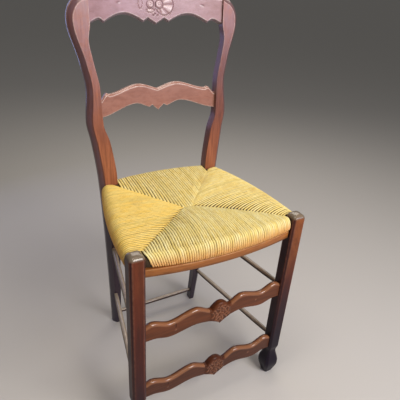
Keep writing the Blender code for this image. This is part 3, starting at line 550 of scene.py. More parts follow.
def add_board(name, marks, pitches, corners, place, carving, polished, haze, finish, slot, *stood_for):
    """A rail cut from a board: corners(x) gives its section, place bends it, carving works its front face,
    polished says where feet have rubbed it, which also takes a pale colour as painted highlight, and haze is
    how far its varnish has gone pale in patches."""
    rings = []
    xs = []
    for start, end, pitch in zip(marks, marks[1:], pitches):
        xs += fine_levels((start, end), pitch)[:-1]
    for x in xs + [marks[-1]]:
        section = corners(x)
        front = section[0][0]
        ring = []
        for across, up, wear, shade_and_stain in eased(section):
            relief = carving(x, up) if carving and across < front + 1e-6 else 0
            # Hollows of the carving keep the darker stain, and its high parts are rubbed
            rub = max(wear, clamp(relief / CARVED_HIGH))
            stain = max(shade_and_stain, min(CARVED_DEEPEST, clamp(-relief / CARVED_LOW)))
            shine = polished(x, across, up) if polished else 0
            ring.append((*place(x, across - relief, up), rub, shine, haze, stain))
        rings.append(ring)
    add_wood(name, rings, 0, finish, slot, *stood_for)


def mirrored(half_marks):
    """Marks from end to end, from those of the right half, the first of which is in the middle."""
    return [-x for x in reversed(half_marks[1:])] + half_marks


def back_place(x, across, up):
    """The crest and the slat lean with the posts, set back from their front, and bow with the back."""
    return (x, post_front(up) + BACK_SETBACK + back_bow(x) + across, up)


def crest_corners(x):
    low, high, cut = crest_low(x), crest_high(x), CREST_CHAMFER
    # The underside and the lower chamfer are painted darker and grey-purple, as painted shade and painted
    # reflection
    return [(0, low + cut, 0.001, CREST_ROWS, 0), (0, high - cut, 0.001, 0, 0), (cut, high, 0.0015, 0, 0),
            (CREST_THICKNESS, high, 0.002, 2, 0), (CREST_THICKNESS, low, 0.003, 0, 0.6),
            (cut, low, 0.003, 0, 0.7)]


# The grey-purple darkest colour is painted shade and reflection on the underside and lower chamfer
crest_wood = varnished_wood("crest", stain="8a5f5c", shade="744e4a", painted_shade_and_stain="5c5866", worn="e2d0d2",
                            faded_and_painted_light="a68187", handled_and_sheen="8a5f5c", roughness=0.38, coat=0.35, coat_roughness=0.2,
                            specular=0.5)
crest_marks = mirrored(sorted(set(CREST_MARKS + [CARVING_REACH])))
crest_pitches = [CARVING_PITCH if abs(a + b) / 2 < CARVING_REACH else RAIL_PITCH
                 for a, b in zip(crest_marks, crest_marks[1:])]
add_board("crest_rail_carved", crest_marks, crest_pitches, crest_corners, back_place, crest_carving,
          None, 0.85, crest_wood, "crest_wood", "crest_rail")


# Back slat: a second bent plank, double-humped above and double-arched below with a point in the middle. Its
# top front arris is chamfered, and its full ends are let into the posts.

SLAT_LOW = SEAT_HEIGHT + 0.192
SLAT_HIGH = SLAT_LOW + 0.045
SLAT_FACE = smooth(POST_INNER, (SLAT_LOW + SLAT_HIGH) / 2)
SLAT_HOUSING = 0.0145
SLAT_THICKNESS = 0.014
SLAT_CHAMFER = 0.005
SLAT_NOTCH = 0.016
SLAT_CUSP = 0.0105
SLAT_MARKS = [SLAT_FACE * share for share in (0, 0.10, 0.157, 0.335, 0.39, 0.62, 0.845, 0.875, 1)]
SLAT_END = SLAT_FACE + SLAT_HOUSING
SLAT_TOP_KNOTS = ((0, SLAT_HIGH + 0.017), (SLAT_MARKS[3], SLAT_HIGH + 0.033),
                  (SLAT_MARKS[6], SLAT_HIGH + 0.014), (SLAT_MARKS[7], SLAT_HIGH + 0.018),
                  (SLAT_MARKS[8], SLAT_HIGH), (SLAT_END, SLAT_HIGH))
SLAT_LOW_KNOTS = ((SLAT_MARKS[2], SLAT_LOW + SLAT_CUSP), (SLAT_MARKS[4], SLAT_LOW + 0.025),
                  (SLAT_MARKS[8], SLAT_LOW), (SLAT_END, SLAT_LOW))


def slat_low(x):
    x = abs(x)
    if x < SLAT_MARKS[1]:
        return SLAT_LOW + SLAT_NOTCH * x / SLAT_MARKS[1]
    if x < SLAT_MARKS[2]:
        share = (x - SLAT_MARKS[1]) / (SLAT_MARKS[2] - SLAT_MARKS[1])
        return SLAT_LOW + SLAT_NOTCH + (SLAT_CUSP - SLAT_NOTCH) * share
    return smooth(SLAT_LOW_KNOTS, x)


def slat_corners(x):
    low, high, cut = slat_low(x), smooth(SLAT_TOP_KNOTS, abs(x)), SLAT_CHAMFER
    # The underside is painted darker as painted shade
    return [(0, low, 0.0015, 6, 0), (0, high - cut, 0.001, 0, 0), (cut, high, 0.0012, 0, 0),
            (SLAT_THICKNESS, high, 0.002, 2, 0), (SLAT_THICKNESS, low, 0.002, 0, 0.4)]


slat_wood = varnished_wood("slat", stain="935e4c", shade="754839", painted_shade_and_stain="453036", worn="d8c2ba",
                           faded_and_painted_light="a87768", handled_and_sheen="935e4c", roughness=0.37, coat=0.35, coat_roughness=0.2,
                           specular=0.5)
slat_marks = mirrored(SLAT_MARKS + [SLAT_END])
add_board("back_slat_bent", slat_marks, [RAIL_PITCH] * len(slat_marks), slat_corners, back_place, None,
          None, 0.8, slat_wood, "slat_wood", "back_slat")


# Foot rails: two waved boards between the front legs, round on top where feet have polished them, with a
# raised block in the middle that is carved with a whorl of small leaves. Tenons hold them in the legs.

# Each rail: name, height, stroke place, peg place, and painted shade on its front, for the lower rail
FOOT_RAILS = (("upper", 0.364, -0.1267, 0.1276, 0), ("lower", 0.145, -0.1450, 0.1300, 0.35))
FOOT_RAIL_HALF = LEG_INSIDE - JOINT_GAP
FOOT_RAIL_FRONT = LEG_Y - LEG_HALF + 0.009
FOOT_RAIL_THICKNESS = 0.018
FOOT_RAIL_TOP_ROUND = 0.0085
FOOT_RAIL_SHARES = (0, 0.22, 0.62, 0.90, 1)
FOOT_RAIL_TOPS = (0.008, 0.027, 0.010, 0.027, 0.021)
FOOT_RAIL_LOWS = (0.031, 0.025, 0.036, 0.025, 0.025)
BLOCK_X = 0.010
BLOCK_HALF = 0.027
BLOCK_PROUD = 0.003
BLOCK_STEP = 0.007
BLOCK_EDGE = 0.004
BLOCK_SUNK = 0.0005
BLOCK_FULLNESS = 0.85
BLOCK_LOW_KNOTS = ((0, 0.048), (BLOCK_HALF / 3, 0.041), (BLOCK_HALF, 0.031))
BLOCK_ROWS = 40
BLOCK_LEAVES = 31
BLOCK_LEAF = (0.0070, 0.0031)
BLOCK_LEAF_HIGH = 0.0014
BLOCK_LEAF_STRAY = 0.1
BLOCK_FIELD = (0.029, 0.030)
BLOCK_CARVED = 0.0325
BLOCK_FIELD_UP = -0.009
GOLDEN_TURN = 2.4
PEG_DROP = 0.016
FAR_PEG_DROP = 0.007
PEG_SIZE = (0.0026, 0.0012)
STROKE_SIZE = (0.0020, 0.0016)
STROKE_HALF = 0.007
STROKE_NARROW = 1.6
RUB_DEEP = 0.0076
RUB_SOFT = 0.004
RUB_BACK = 0.013
RUB_BACK_SOFT = 0.006
MARK_REACH = 0.006
MARK_PITCH = 0.001
BLOCK_PITCH = 0.0008
STEP_PITCH = 0.0009


def foot_rail_edge(x, heights):
    """How far a waved edge lies from the rail's middle at x, between the block and a leg."""
    edge = BLOCK_HALF + BLOCK_STEP
    room = FOOT_RAIL_HALF - math.copysign(BLOCK_X, x - BLOCK_X) - edge
    knots = [(edge + room * share, height) for share, height in zip(FOOT_RAIL_SHARES, heights)]
    return smooth(knots, max(abs(x - BLOCK_X), edge))


def foot_rail_top(x):
    off = abs(x - BLOCK_X)
    if off >= BLOCK_HALF:
        return foot_rail_edge(x, FOOT_RAIL_TOPS)
    swell = math.cos(math.pi * off / BLOCK_HALF / 2) ** BLOCK_FULLNESS
    return FOOT_RAIL_TOPS[0] + (FOOT_RAIL_TOPS[1] - FOOT_RAIL_TOPS[0]) * swell


def foot_rail_low(x):
    off = abs(x - BLOCK_X)
    return smooth(BLOCK_LOW_KNOTS, off) if off < BLOCK_HALF else foot_rail_edge(x, FOOT_RAIL_LOWS)


carver = random.Random("block")
block_leaves = []
for k in range(BLOCK_LEAVES):
    far_out = math.sqrt((k + 0.4) / BLOCK_LEAVES)
    turn = GOLDEN_TURN * k + carver.uniform(-BLOCK_LEAF_STRAY, BLOCK_LEAF_STRAY)
    leaf_x = BLOCK_X + BLOCK_FIELD[0] * far_out * math.cos(turn)
    leaf_up = BLOCK_FIELD_UP + BLOCK_FIELD[1] * far_out * math.sin(turn)
    block_leaves.append((leaf_x, leaf_up, carver.uniform(0, math.pi)))


def block_carving(x, up):
    """Relief of a block's whorl of small leaves in metres, up measured from the rail's middle."""
    if abs(x - BLOCK_X) > BLOCK_CARVED:
        return 0
    relief = -BLOCK_SUNK
    for leaf_x, leaf_up, tilt in block_leaves:
        across = x - leaf_x
        rise = up - leaf_up
        along = across * math.cos(tilt) + rise * math.sin(tilt)
        beside = rise * math.cos(tilt) - across * math.sin(tilt)
        far = math.hypot(along / BLOCK_LEAF[0], beside / BLOCK_LEAF[1])
        if far < 1:
            relief = max(relief, BLOCK_LEAF_HIGH * (1 - far ** 2))
    return relief * min(1, (BLOCK_CARVED - abs(x - BLOCK_X)) / LEAF_EDGE)


foot_rail_wood = varnished_wood("foot_rails", stain="703c21", shade="4f2a17", painted_shade_and_stain="20131a",
                                worn="a87458", faded_and_painted_light="703c21", handled_and_sheen="a16d4b", roughness=0.36, coat=None,
                                coat_roughness=0.17, specular=0.25)
for level_name, height, stroke_x, peg_x, rail_painted_shade in FOOT_RAILS:

    def foot_rail_corners(x):
        step = (abs(x - BLOCK_X) - BLOCK_HALF) / BLOCK_STEP
        front = -BLOCK_PROUD * clamp(1 - step)
        low, high = -foot_rail_low(x), foot_rail_top(x)
        # The rear top and the back are painted darker as painted shade
        return [(front, low, 0.003, BLOCK_ROWS, rail_painted_shade), (front, high, FOOT_RAIL_TOP_ROUND, 0, rail_painted_shade),
                (FOOT_RAIL_THICKNESS, high, FOOT_RAIL_TOP_ROUND, 2, 0.5),
                (FOOT_RAIL_THICKNESS, low, 0.003, 1, 0.6)]

    def foot_rail_place(x, across, up):
        return (x, FOOT_RAIL_FRONT + across, height + up)

    def foot_rail_carving(x, up):
        stroke_far = math.hypot((x - stroke_x) * STROKE_NARROW, max(0, abs(up) - STROKE_HALF))
        peg = groove(math.hypot(x - stroke_x, up + PEG_DROP), *PEG_SIZE)
        far_peg = groove(math.hypot(x - peg_x, up + FAR_PEG_DROP), *PEG_SIZE)
        return block_carving(x, up) + groove(stroke_far, *STROKE_SIZE) - peg - far_peg

    # Feet rub the top pale and polished; the pale colour there is partly painted highlight
    def foot_rubbed(x, across, up):
        if abs(x - BLOCK_X) < BLOCK_HALF + BLOCK_STEP:
            return 0
        high = clamp((up - foot_rail_top(x) + RUB_DEEP) / RUB_SOFT)
        return high * clamp((RUB_BACK - across) / RUB_BACK_SOFT)

    left, right = BLOCK_X - BLOCK_HALF, BLOCK_X + BLOCK_HALF
    edges = [left - BLOCK_STEP, left, left + BLOCK_EDGE, right - BLOCK_EDGE, right, right + BLOCK_STEP]
    marks = [-FOOT_RAIL_HALF, stroke_x - MARK_REACH, stroke_x + MARK_REACH] + edges
    marks += [peg_x - MARK_REACH, peg_x + MARK_REACH, FOOT_RAIL_HALF]
    mark_pitches = [RAIL_PITCH, MARK_PITCH, RAIL_PITCH]
    pitches = mark_pitches + [STEP_PITCH] + [BLOCK_PITCH] * 3 + [STEP_PITCH] + mark_pitches
    name = "foot_rail_" + level_name
    add_board(name + "_carved", marks, pitches, foot_rail_corners, foot_rail_place, foot_rail_carving,
              foot_rubbed, 0, foot_rail_wood, "foot_rail_wood", name)


# Rungs: plain dowels, a little thinner at the ends, two on each side and one low between the rear feet. They
# are stained with the frame and glued into bored sockets.

RUNG_RADIUS = 0.00775
RUNG_END_RADIUS = 0.00625
RUNG_TAPER = 0.0795
RUNG_SOCKET = 0.012
RUNG_END = 0.016
RUNG_TAPER_STEP = 0.1
RUNG_PALE_TOP_FROM = 0.25
RUNG_PALE_TOP_SPAN = 0.5
RUNG_POLISH = 0.7
RUNG_UNDERSIDE_PAINTED_SHADE = 0.5
RUNG_SIDES = 24
SIDE_RUNG_HEIGHTS = (("upper", 0.361), ("lower", 0.151))
REAR_RUNG_HEIGHT = 0.044


def bar_rings(start, end, rows):
    """Rings round the line from start to end, from (distance along, radius) rows."""
    along = (Vector(end) - Vector(start)).normalized()
    side = along.cross(Vector((0, 0, 1))).normalized()
    up = side.cross(along)
    rings = []
    for distance, radius in rows:
        centre = Vector(start) + along * distance
        ring = []
        for k in range(RUNG_SIDES):
            turn = 2 * math.pi * k / RUNG_SIDES
            point = centre + side * radius * math.cos(turn) + up * radius * math.sin(turn)
            # The top is pale, partly wear and dust and partly painted highlight; the underside is painted
            # darker as painted shade
            rub = clamp((math.sin(turn) - RUNG_PALE_TOP_FROM) / RUNG_PALE_TOP_SPAN)
            ring.append((*point, rub, RUNG_POLISH * rub, 0, RUNG_UNDERSIDE_PAINTED_SHADE * (1 - rub)))
        rings.append(ring)
    return rings


def rung_rows(length):
    rows = [(0, RUNG_END_RADIUS)]
    for share in fine_levels((0, 1), RUNG_TAPER_STEP):
        swell = RUNG_END_RADIUS + (RUNG_RADIUS - RUNG_END_RADIUS) * (1 - (1 - share) ** 2)
        rows.append((RUNG_END + (RUNG_TAPER - RUNG_END) * share, swell))
    return rows + [(length - distance, radius) for distance, radius in reversed(rows)]


rung_wood = varnished_wood("rungs", stain="5a3a2b", shade="45291d", painted_shade_and_stain="20171a", worn="c4b49e",
                           faded_and_painted_light="5a3a2b", handled_and_sheen="c9bba6", roughness=0.32, coat=None, coat_roughness=0.15,
                           specular=0.4)
rungs = []
for side_name, side in SIDES:
    for level_name, height in SIDE_RUNG_HEIGHTS:
        rear_x = (smooth(POST_INNER, height) + smooth(POST_OUTER, height)) / 2
        front_end = (side * LEG_X, LEG_BACK - RUNG_SOCKET, height)
        rear_end = (side * rear_x, post_front(height) + RUNG_SOCKET, height)
        rungs.append(("side_rung_" + level_name + "_" + side_name, front_end, rear_end, 1))
rear_rung_x = smooth(POST_INNER, REAR_RUNG_HEIGHT) + RUNG_SOCKET
rear_rung_y = post_axis_y(REAR_RUNG_HEIGHT)
rungs.append(("rear_rung", (-rear_rung_x, rear_rung_y, REAR_RUNG_HEIGHT),
              (rear_rung_x, rear_rung_y, REAR_RUNG_HEIGHT), 0))
for name, start, end, along in rungs:
    rows = rung_rows(math.dist(start, end))
    add_wood(name + "_turned", bar_rings(start, end, rows), along, rung_wood, "rung_wood", name)


# Aprons: plain strips of the same wood just under the rush, tenoned into the front legs and the posts. The
# two at the sides are straight and the front one is sawn to the bow of the seat.

RAIL_Z = SEAT_HEIGHT - 0.027
RAIL_RADIUS = 0.011
ROLL_RADIUS = RAIL_RADIUS + 0.006
FRONT_RAIL_Y = LEG_Y - 0.003
FRONT_BOW = 0.023
FRONT_BOW_INSET = 0.0075
APRON_HIGH = RAIL_Z - ROLL_RADIUS - JOINT_GAP
APRON_LOW = APRON_HIGH - 0.022
APRON_OUTER = ROLL_RADIUS - 0.004
APRON_THICKNESS = 0.012
APRON_EDGE = 0.007
APRON_FRONT_PITCH = 0.012
APRON_SIDE_PITCH = 0.02
SIDE_RAIL_FRONT_X = 0.2345
SIDE_RAIL_REAR_X = 0.178


def front_line(x):
    """Where the axis of the bowed front rail lies at x."""
    share = min(1, abs(x) / LEG_INSIDE)
    return LEG_Y + FRONT_BOW_INSET - FRONT_BOW * (1 - share * share)


def side_rail_x(y):
    """Distance from the middle to a side rail's axis at y."""
    share = (y - LEG_Y) / (2 * SEAT_HALF_DEPTH)
    return SIDE_RAIL_FRONT_X + (SIDE_RAIL_REAR_X - SIDE_RAIL_FRONT_X) * share


def apron_outline():
    inner = APRON_OUTER - APRON_THICKNESS
    # The lower front edge and the inner face are painted darker as painted shade
    corners = [(-APRON_OUTER, APRON_LOW, 0.003, 0, 0.45), (-APRON_OUTER, APRON_LOW + APRON_EDGE, 0.006, 0, 0),
               (-APRON_OUTER, APRON_HIGH, 0.002, 0, 0), (-inner, APRON_HIGH, 0.002, 0, 0.4),
               (-inner, APRON_LOW, 0.003, 0, 0.6)]
    return eased(corners)


apron_wood = varnished_wood("aprons", stain="b06e35", shade="874f24", painted_shade_and_stain="2a1810", worn="d0a470",
                            faded_and_painted_light="b06e35", handled_and_sheen="b06e35", roughness=0.4, coat=0.1, coat_roughness=0.2,
                            specular=0.3)
front_reach = LEG_INSIDE - JOINT_GAP
front_rings = []
for x in fine_levels((-front_reach, front_reach), APRON_FRONT_PITCH):
    front_rings.append([(x, front_line(x) + across, up, wear, 0, 0, shade_and_stain)
                        for across, up, wear, shade_and_stain in apron_outline()])
add_wood("apron_front_strip", front_rings, 0, apron_wood, "apron_wood", "apron_front")
for side_name, side in SIDES:
    rings = []
    start_y = LEG_BACK + JOINT_GAP
    end_y = post_front(APRON_LOW) - JOINT_GAP
    for y in fine_levels((start_y, end_y), APRON_SIDE_PITCH):
        rings.append([(side * (side_rail_x(y) - across), y, up, wear, 0, 0, shade_and_stain)
                      for across, up, wear, shade_and_stain in apron_outline()])
    name = "apron_" + side_name
    add_wood(name + "_strip", rings, 1, apron_wood, "apron_wood", name)


# Seat rails: four round bars of bare beech that the rush is wound on. They are the CAD's own solids, hidden
# inside the roll, and stay unstained because nobody sees them.

bare_beech, beech_tree, beech_shader = new_finish("beech_bare_turned")
beech_place = add_node(beech_tree, "ShaderNodeTexCoord").outputs["Object"]
# Short flecks of 2 mm and 40 mm clouds, warm and dry, with no gloss
flecks = add_node(beech_tree, "ShaderNodeTexNoise", {"Vector": beech_place, "Scale": 500, "Detail": 2})
beech_clouds = add_node(beech_tree, "ShaderNodeTexNoise", {"Vector": beech_place, "Scale": 25, "Detail": 3})
beech_mix = add_node(beech_tree, "ShaderNodeMath", {0: flecks.outputs[0], 1: beech_clouds.outputs[0]},
                     operation="MULTIPLY")
beech_tone = add_node(beech_tree, "ShaderNodeMapRange", {"Value": beech_mix.outputs[0], "From Min": 0.12,
                                                         "From Max": 0.4})
beech_colour = add_node(beech_tree, "ShaderNodeMix", {0: beech_tone.outputs[0], 6: linear("9c7a55"),
                                                      7: linear("7d5c3b")}, data_type="RGBA")
beech_bump = add_node(beech_tree, "ShaderNodeBump", {"Height": flecks.outputs[0], "Strength": 0.15,
                                                     "Distance": 0.0005})
fill_sockets(beech_tree, beech_shader, {"Base Color": beech_colour.outputs[2],
                                        "Normal": beech_bump.outputs[0], "Roughness": 0.7})
for place_name in ("front", "rear", "left", "right"):
    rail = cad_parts["seat_rail_" + place_name]
    rail.data.materials.clear()
    rail.data.materials.append(bare_beech)


# Rush seat: cords of twisted bulrush leaf, wound over the four rails from the corners inwards. On top they
# make four panels that meet in diagonal seams, and the layers are packed with waste rush to keep them full.

RUSH_TOP = 0.009
RUSH_RISE = 0.010
RUSH_CROWN = 0.004
RUSH_DISH = 0.006
RUSH_SEAM = 0.004
RUSH_SEAM_SHARE = 0.16
RUSH_HOLLOW = 0.010
RUSH_BULGES = {"front": 0.002, "side": 0.016, "rear": 0.008}
REAR_RAIL_Y = post_axis_y(RAIL_Z)
RIDGE_FORWARD = 0.015
RIDGE_Y = (FRONT_RAIL_Y + REAR_RAIL_Y) / 2 - RIDGE_FORWARD
RIDGE_LEFT = -0.024
RIDGE_RIGHT = 0.004
SEAM_BOW = 0.012
CORD_PITCH = 0.0063
CORD_FAN = 0.023
CORD_FAN_REACH = 0.150
CORD_LEAN = 0.24
CORD_LEAN_REACH = 0.160
CORD_LEAN_FROM = 0.12
CORD_LEAN_SPAN = 0.17
SIDE_LEAN = 0.17
SIDE_LEAN_POWER = 1.6
SIDE_LEAN_LOSS = 0.5
FAN_ON_TOP = 0.15
ROLL_STEPS = 12
ROLL_SQUARE = 0.35
# Painted warm shade on the lower roll, and how much it takes from the valleys' painted shade
ROLL_SHADE_LEVEL = 0.85
ROLL_SHADE_FILL = 0.5
CORD_HALF_HEIGHT = 0.0031
CORD_SIDES = 10
CORD_STEP = 0.0055
CORD_LOW_STEP = 0.03
CORD_CLEAR = 0.0015
SIDE_CORD_CLEAR = 0.0035
CORD_WANDER = 0.04
CORD_WIDTHS = (0.95, 1.02)
SIDE_CORD_WIDTHS = (0.95, 1.0)
# Painted shade in the valleys between cords, darker towards the left
CORD_GAP = 0.62
LEFT_GAP = 0.2
LEFT_GAP_FROM = 0.08
LEFT_GAP_SPAN = 0.2
CORD_SWAY = (0.0001, 0.0004)
CORD_SWAY_REACH = 0.0225
CORD_TWIST = 0.026
CORD_PLY_SWELL = 0.06
SEAM_DIVE = 0.0015
SEAM_DIVE_REACH = 0.006
SEAM_TUCK = 0.002
SEAM_ROUNDS = 12
REACH_ROUNDS = 10
FRONT_CORNER_X = side_rail_x(FRONT_RAIL_Y)
REAR_CORNER_X = side_rail_x(REAR_RAIL_Y)


def seam_y(x, rail_y, corner_x):
    """Where cords that run front to back at x meet the seam. The seam to the right front corner bows
    back."""
    if x < RIDGE_LEFT:
        return RIDGE_Y + (rail_y - RIDGE_Y) * (RIDGE_LEFT - x) / (RIDGE_LEFT + corner_x)
    if x > RIDGE_RIGHT:
        share = (x - RIDGE_RIGHT) / (corner_x - RIDGE_RIGHT)
        bow = SEAM_BOW * math.sin(math.pi * share) if rail_y < RIDGE_Y else 0
        return RIDGE_Y + (rail_y - RIDGE_Y) * share + bow
    return RIDGE_Y


def seam_x(y, side):
    """Where cords that run from side to side at y meet the seam."""
    ridge = RIDGE_LEFT if side < 0 else RIDGE_RIGHT
    if y < RIDGE_Y:
        bow = SEAM_BOW if side > 0 else 0
        share = 0
        for _ in range(SEAM_ROUNDS):
            share = (RIDGE_Y - y + bow * math.sin(math.pi * share)) / (RIDGE_Y - FRONT_RAIL_Y)
        return ridge + (side * FRONT_CORNER_X - ridge) * share
    share = (y - RIDGE_Y) / (REAR_RAIL_Y - RIDGE_Y)
    return ridge + (side * REAR_CORNER_X - ridge) * share


def rush_height(inset, share):
    """Height of the rush's top between a rail, inset 0, and the ridge, inset 1, share of the way along it."""
    swell = 4 * share * (1 - share)
    lift = RUSH_RISE * swell * (1 - inset) + RUSH_CROWN * math.sin(math.pi * inset) - RUSH_DISH * inset
    dip = RUSH_SEAM * math.sin(math.pi * inset) * max(0, 1 - min(share, 1 - share) / RUSH_SEAM_SHARE)
    return RAIL_Z + RAIL_RADIUS + RUSH_TOP + lift - dip


def share_across(x, corner_x, inset):
    """How far x lies from left to right on the front or rear panel, which narrows towards the ridge."""
    left = -corner_x + (RIDGE_LEFT + corner_x) * inset
    right = corner_x + (RIDGE_RIGHT - corner_x) * inset
    return clamp((x - left) / (right - left))


def share_back(y, inset):
    """How far y lies from front to back on a side panel, which narrows to a point."""
    front = FRONT_RAIL_Y + (RIDGE_Y - FRONT_RAIL_Y) * inset
    rear = REAR_RAIL_Y + (RIDGE_Y - REAR_RAIL_Y) * inset
    return clamp((y - front) / max(1e-6, rear - front))


def cord_path(reach, inset_end, share_at, lean_at, fan, bulge):
    """Points (out, up, roll shade, aside) of one cord: from the seam below, round the rail, to the seam on
    top.
    Out is measured outwards from the rail's axis, and reach is the way in to the seam. Roll shade is painted
    warm shade on the lower, outer part of the roll and below it. Aside is how far the cord lies from its
    upright
    plane: it leans on top and fans out on the roll, which is squarer below the rail, where the apron holds
    it."""
    half = CORD_HALF_HEIGHT
    points = []
    below = max(2, round(reach / CORD_LOW_STEP))
    for k in range(below):
        way = reach * (1 - k / below)
        points.append((-way, RAIL_Z - ROLL_RADIUS + RUSH_HOLLOW * inset_end * way / reach + half, 1, fan))
    share = share_at(0)
    swell = 4 * share * (1 - share)
    wide = ROLL_RADIUS + bulge * swell - half
    for k in range(ROLL_STEPS + 1):
        turn = -math.pi / 2 + math.pi * k / ROLL_STEPS
        tall = (rush_height(0, share) - RAIL_Z if turn > 0 else ROLL_RADIUS) - half
        roll_shade = clamp(ROLL_SHADE_LEVEL - math.sin(turn))
        aside = fan * (FAN_ON_TOP + (1 - FAN_ON_TOP) * (1 - k / ROLL_STEPS))
        out = wide * math.cos(turn) ** (1 if turn > 0 else ROLL_SQUARE)
        points.append((out, RAIL_Z + tall * math.sin(turn), roll_shade, aside))
    above = max(2, round(reach / CORD_STEP))
    for k in range(1, above + 1):
        way = reach * k / above
        inset = inset_end * way / reach
        dive = SEAM_DIVE * max(0, 1 - (reach - way) / SEAM_DIVE_REACH) ** 2
        aside = FAN_ON_TOP * fan * (1 - k / above) + lean_at(way)
        points.append((-way, rush_height(inset, share_at(inset)) - half - dive, 0, aside))
    points.append((-reach - SEAM_TUCK, points[-1][1] - SEAM_DIVE, 0, points[-1][3]))
    return points


def cord_places(start, end, thick):
    """Centres of cords laid side by side from start to end, and their pitch."""
    count = round((end - start) / CORD_PITCH / thick)
    pitch = (end - start) / count
    return [start + pitch * (k + 0.5) for k in range(count)], pitch


def add_cord(path, origin, outward, side, half_width, gold, gap, paling=0):
    """Sweep an oval round a cord's path; rush_marks gets (around, along, kind of leaf) for every point, with
    around at 0.5 on top, and rush_tones gets (roll shade, gold, gap, 1), where roll shade is painted warm
    shade and gap scales the painted shade in the valleys. Paling is how far the gold is lost on the way to
    the seam on top."""
    first = len(cord_verts)
    out = Vector(outward)
    beside = Vector(side)
    centres = [Vector(origin) + out * a + Vector((0, 0, b)) + beside * aside for a, b, _, aside in path]
    run = 0
    leaf = wander.random()
    phase = wander.uniform(0, 2 * math.pi)
    drift = wander.uniform(0, 2 * math.pi)
    sway = wander.uniform(*CORD_SWAY)
    for k, centre in enumerate(centres):
        ahead = centres[min(k + 1, len(centres) - 1)] - centres[max(k - 1, 0)]
        normal = ahead.normalized().cross(beside)
        normal *= -1 if normal.dot(centre - Vector(origin) - Vector((0, 0, RAIL_Z))) < 0 else 1
        run += (centre - centres[k - 1]).length if k else 0
        shift = beside * sway * math.sin(run / CORD_SWAY_REACH + drift)
        tint = gold * (1 - paling * k / (len(centres) - 1))
        for j in range(CORD_SIDES):
            turn = 2 * math.pi * j / CORD_SIDES - math.pi / 2
            ply = 1 + CORD_PLY_SWELL * math.cos(2 * turn + 2 * math.pi * run / CORD_TWIST + phase)
            point = centre + shift + beside * half_width * ply * math.cos(turn)
            cord_verts.append(point + normal * CORD_HALF_HEIGHT * ply * math.sin(turn))
            rush_marks.extend((j / CORD_SIDES, run, leaf))
            rush_tones.extend((path[k][2], tint, gap * (1 - ROLL_SHADE_FILL * path[k][2]), 1))
    for face in loft_faces(len(centres), CORD_SIDES):
        cord_faces.append(tuple(first + corner for corner in face))


wander = random.Random("rush")
cord_verts, cord_faces, rush_marks, rush_tones = [], [], [], []
front_half = LEG_INSIDE - CORD_CLEAR
rear_half = smooth(POST_INNER, RAIL_Z) - CORD_CLEAR
for seam_rail_y, corner_x, limit, facing, bulge, gold, paling, valley_scale, thick in (
        (FRONT_RAIL_Y, FRONT_CORNER_X, front_half, -1, RUSH_BULGES["front"], 0.38, 1, 1, 1),
        (REAR_RAIL_Y, REAR_CORNER_X, rear_half, 1, RUSH_BULGES["rear"], 0.40, 0, 1.12, 1.15)):
    places, pitch = cord_places(-limit, limit, thick)
    for place in places:
        x = place + wander.uniform(-CORD_WANDER, CORD_WANDER) * pitch
        rail_y = front_line(x) if facing < 0 else seam_rail_y
        near_left = max(0, 1 - (x + limit) / CORD_FAN_REACH) if facing < 0 else 0
        lean = CORD_LEAN * clamp((CORD_LEAN_FROM - x) / CORD_LEAN_SPAN) if facing < 0 else 0

        def lean_at(way):
            way = min(way, CORD_LEAN_REACH)
            return lean * (way - way * way / (2 * CORD_LEAN_REACH))

        def share_at(inset):
            return share_across(x + lean_at(inset * abs(RIDGE_Y - seam_rail_y)), corner_x, inset)

        reach = 0
        for _ in range(REACH_ROUNDS):
            reach = abs(seam_y(x + lean_at(reach), seam_rail_y, corner_x) - rail_y)
        inset_end = (rail_y - facing * reach - seam_rail_y) / (RIDGE_Y - seam_rail_y)
        path = cord_path(reach, inset_end, share_at, lean_at, CORD_FAN * near_left, bulge)
        width = pitch / 2 * wander.uniform(*CORD_WIDTHS)
        # Valleys are painted darker towards the left, as painted shade
        gap = valley_scale * (CORD_GAP + LEFT_GAP * clamp((LEFT_GAP_FROM - x) / LEFT_GAP_SPAN))
        add_cord(path, (x, rail_y, 0), (0, facing, 0), (1, 0, 0), width, gold, gap, paling)
side_start = LEG_BACK + SIDE_CORD_CLEAR
side_end = post_front(RAIL_Z) - CORD_CLEAR
for side, gold, gap, side_lean in ((-1, 1.0, 1.2, 0), (1, 0.45, 1.3, SIDE_LEAN)):
    places, pitch = cord_places(side_start, side_end, 1)
    for place in places:
        y = place + wander.uniform(-CORD_WANDER, CORD_WANDER) * pitch
        rail_x = side * side_rail_x(y)
        lean = side_lean * (1 - SIDE_LEAN_LOSS * (y - side_start) / (side_end - side_start))
        reach = 0
        for _ in range(REACH_ROUNDS):
            reach = abs(seam_x(y - lean * reach, side) - rail_x)
        y_end = y - lean * reach
        front_part = (RIDGE_Y - y_end) / (RIDGE_Y - FRONT_RAIL_Y)
        rear_part = (y_end - RIDGE_Y) / (REAR_RAIL_Y - RIDGE_Y)
        inset_end = 1 - max(front_part, rear_part)

        def lean_at(way):
            return -lean * reach * (way / reach) ** SIDE_LEAN_POWER

        def share_at(inset):
            return share_back(y + lean_at(reach * min(1, inset / inset_end)), inset)

        path = cord_path(reach, inset_end, share_at, lean_at, 0, RUSH_BULGES["side"])
        width = pitch / 2 * wander.uniform(*SIDE_CORD_WIDTHS)
        add_cord(path, (rail_x, y, 0), (side, 0, 0), (0, 1, 0), width, gold, gap)

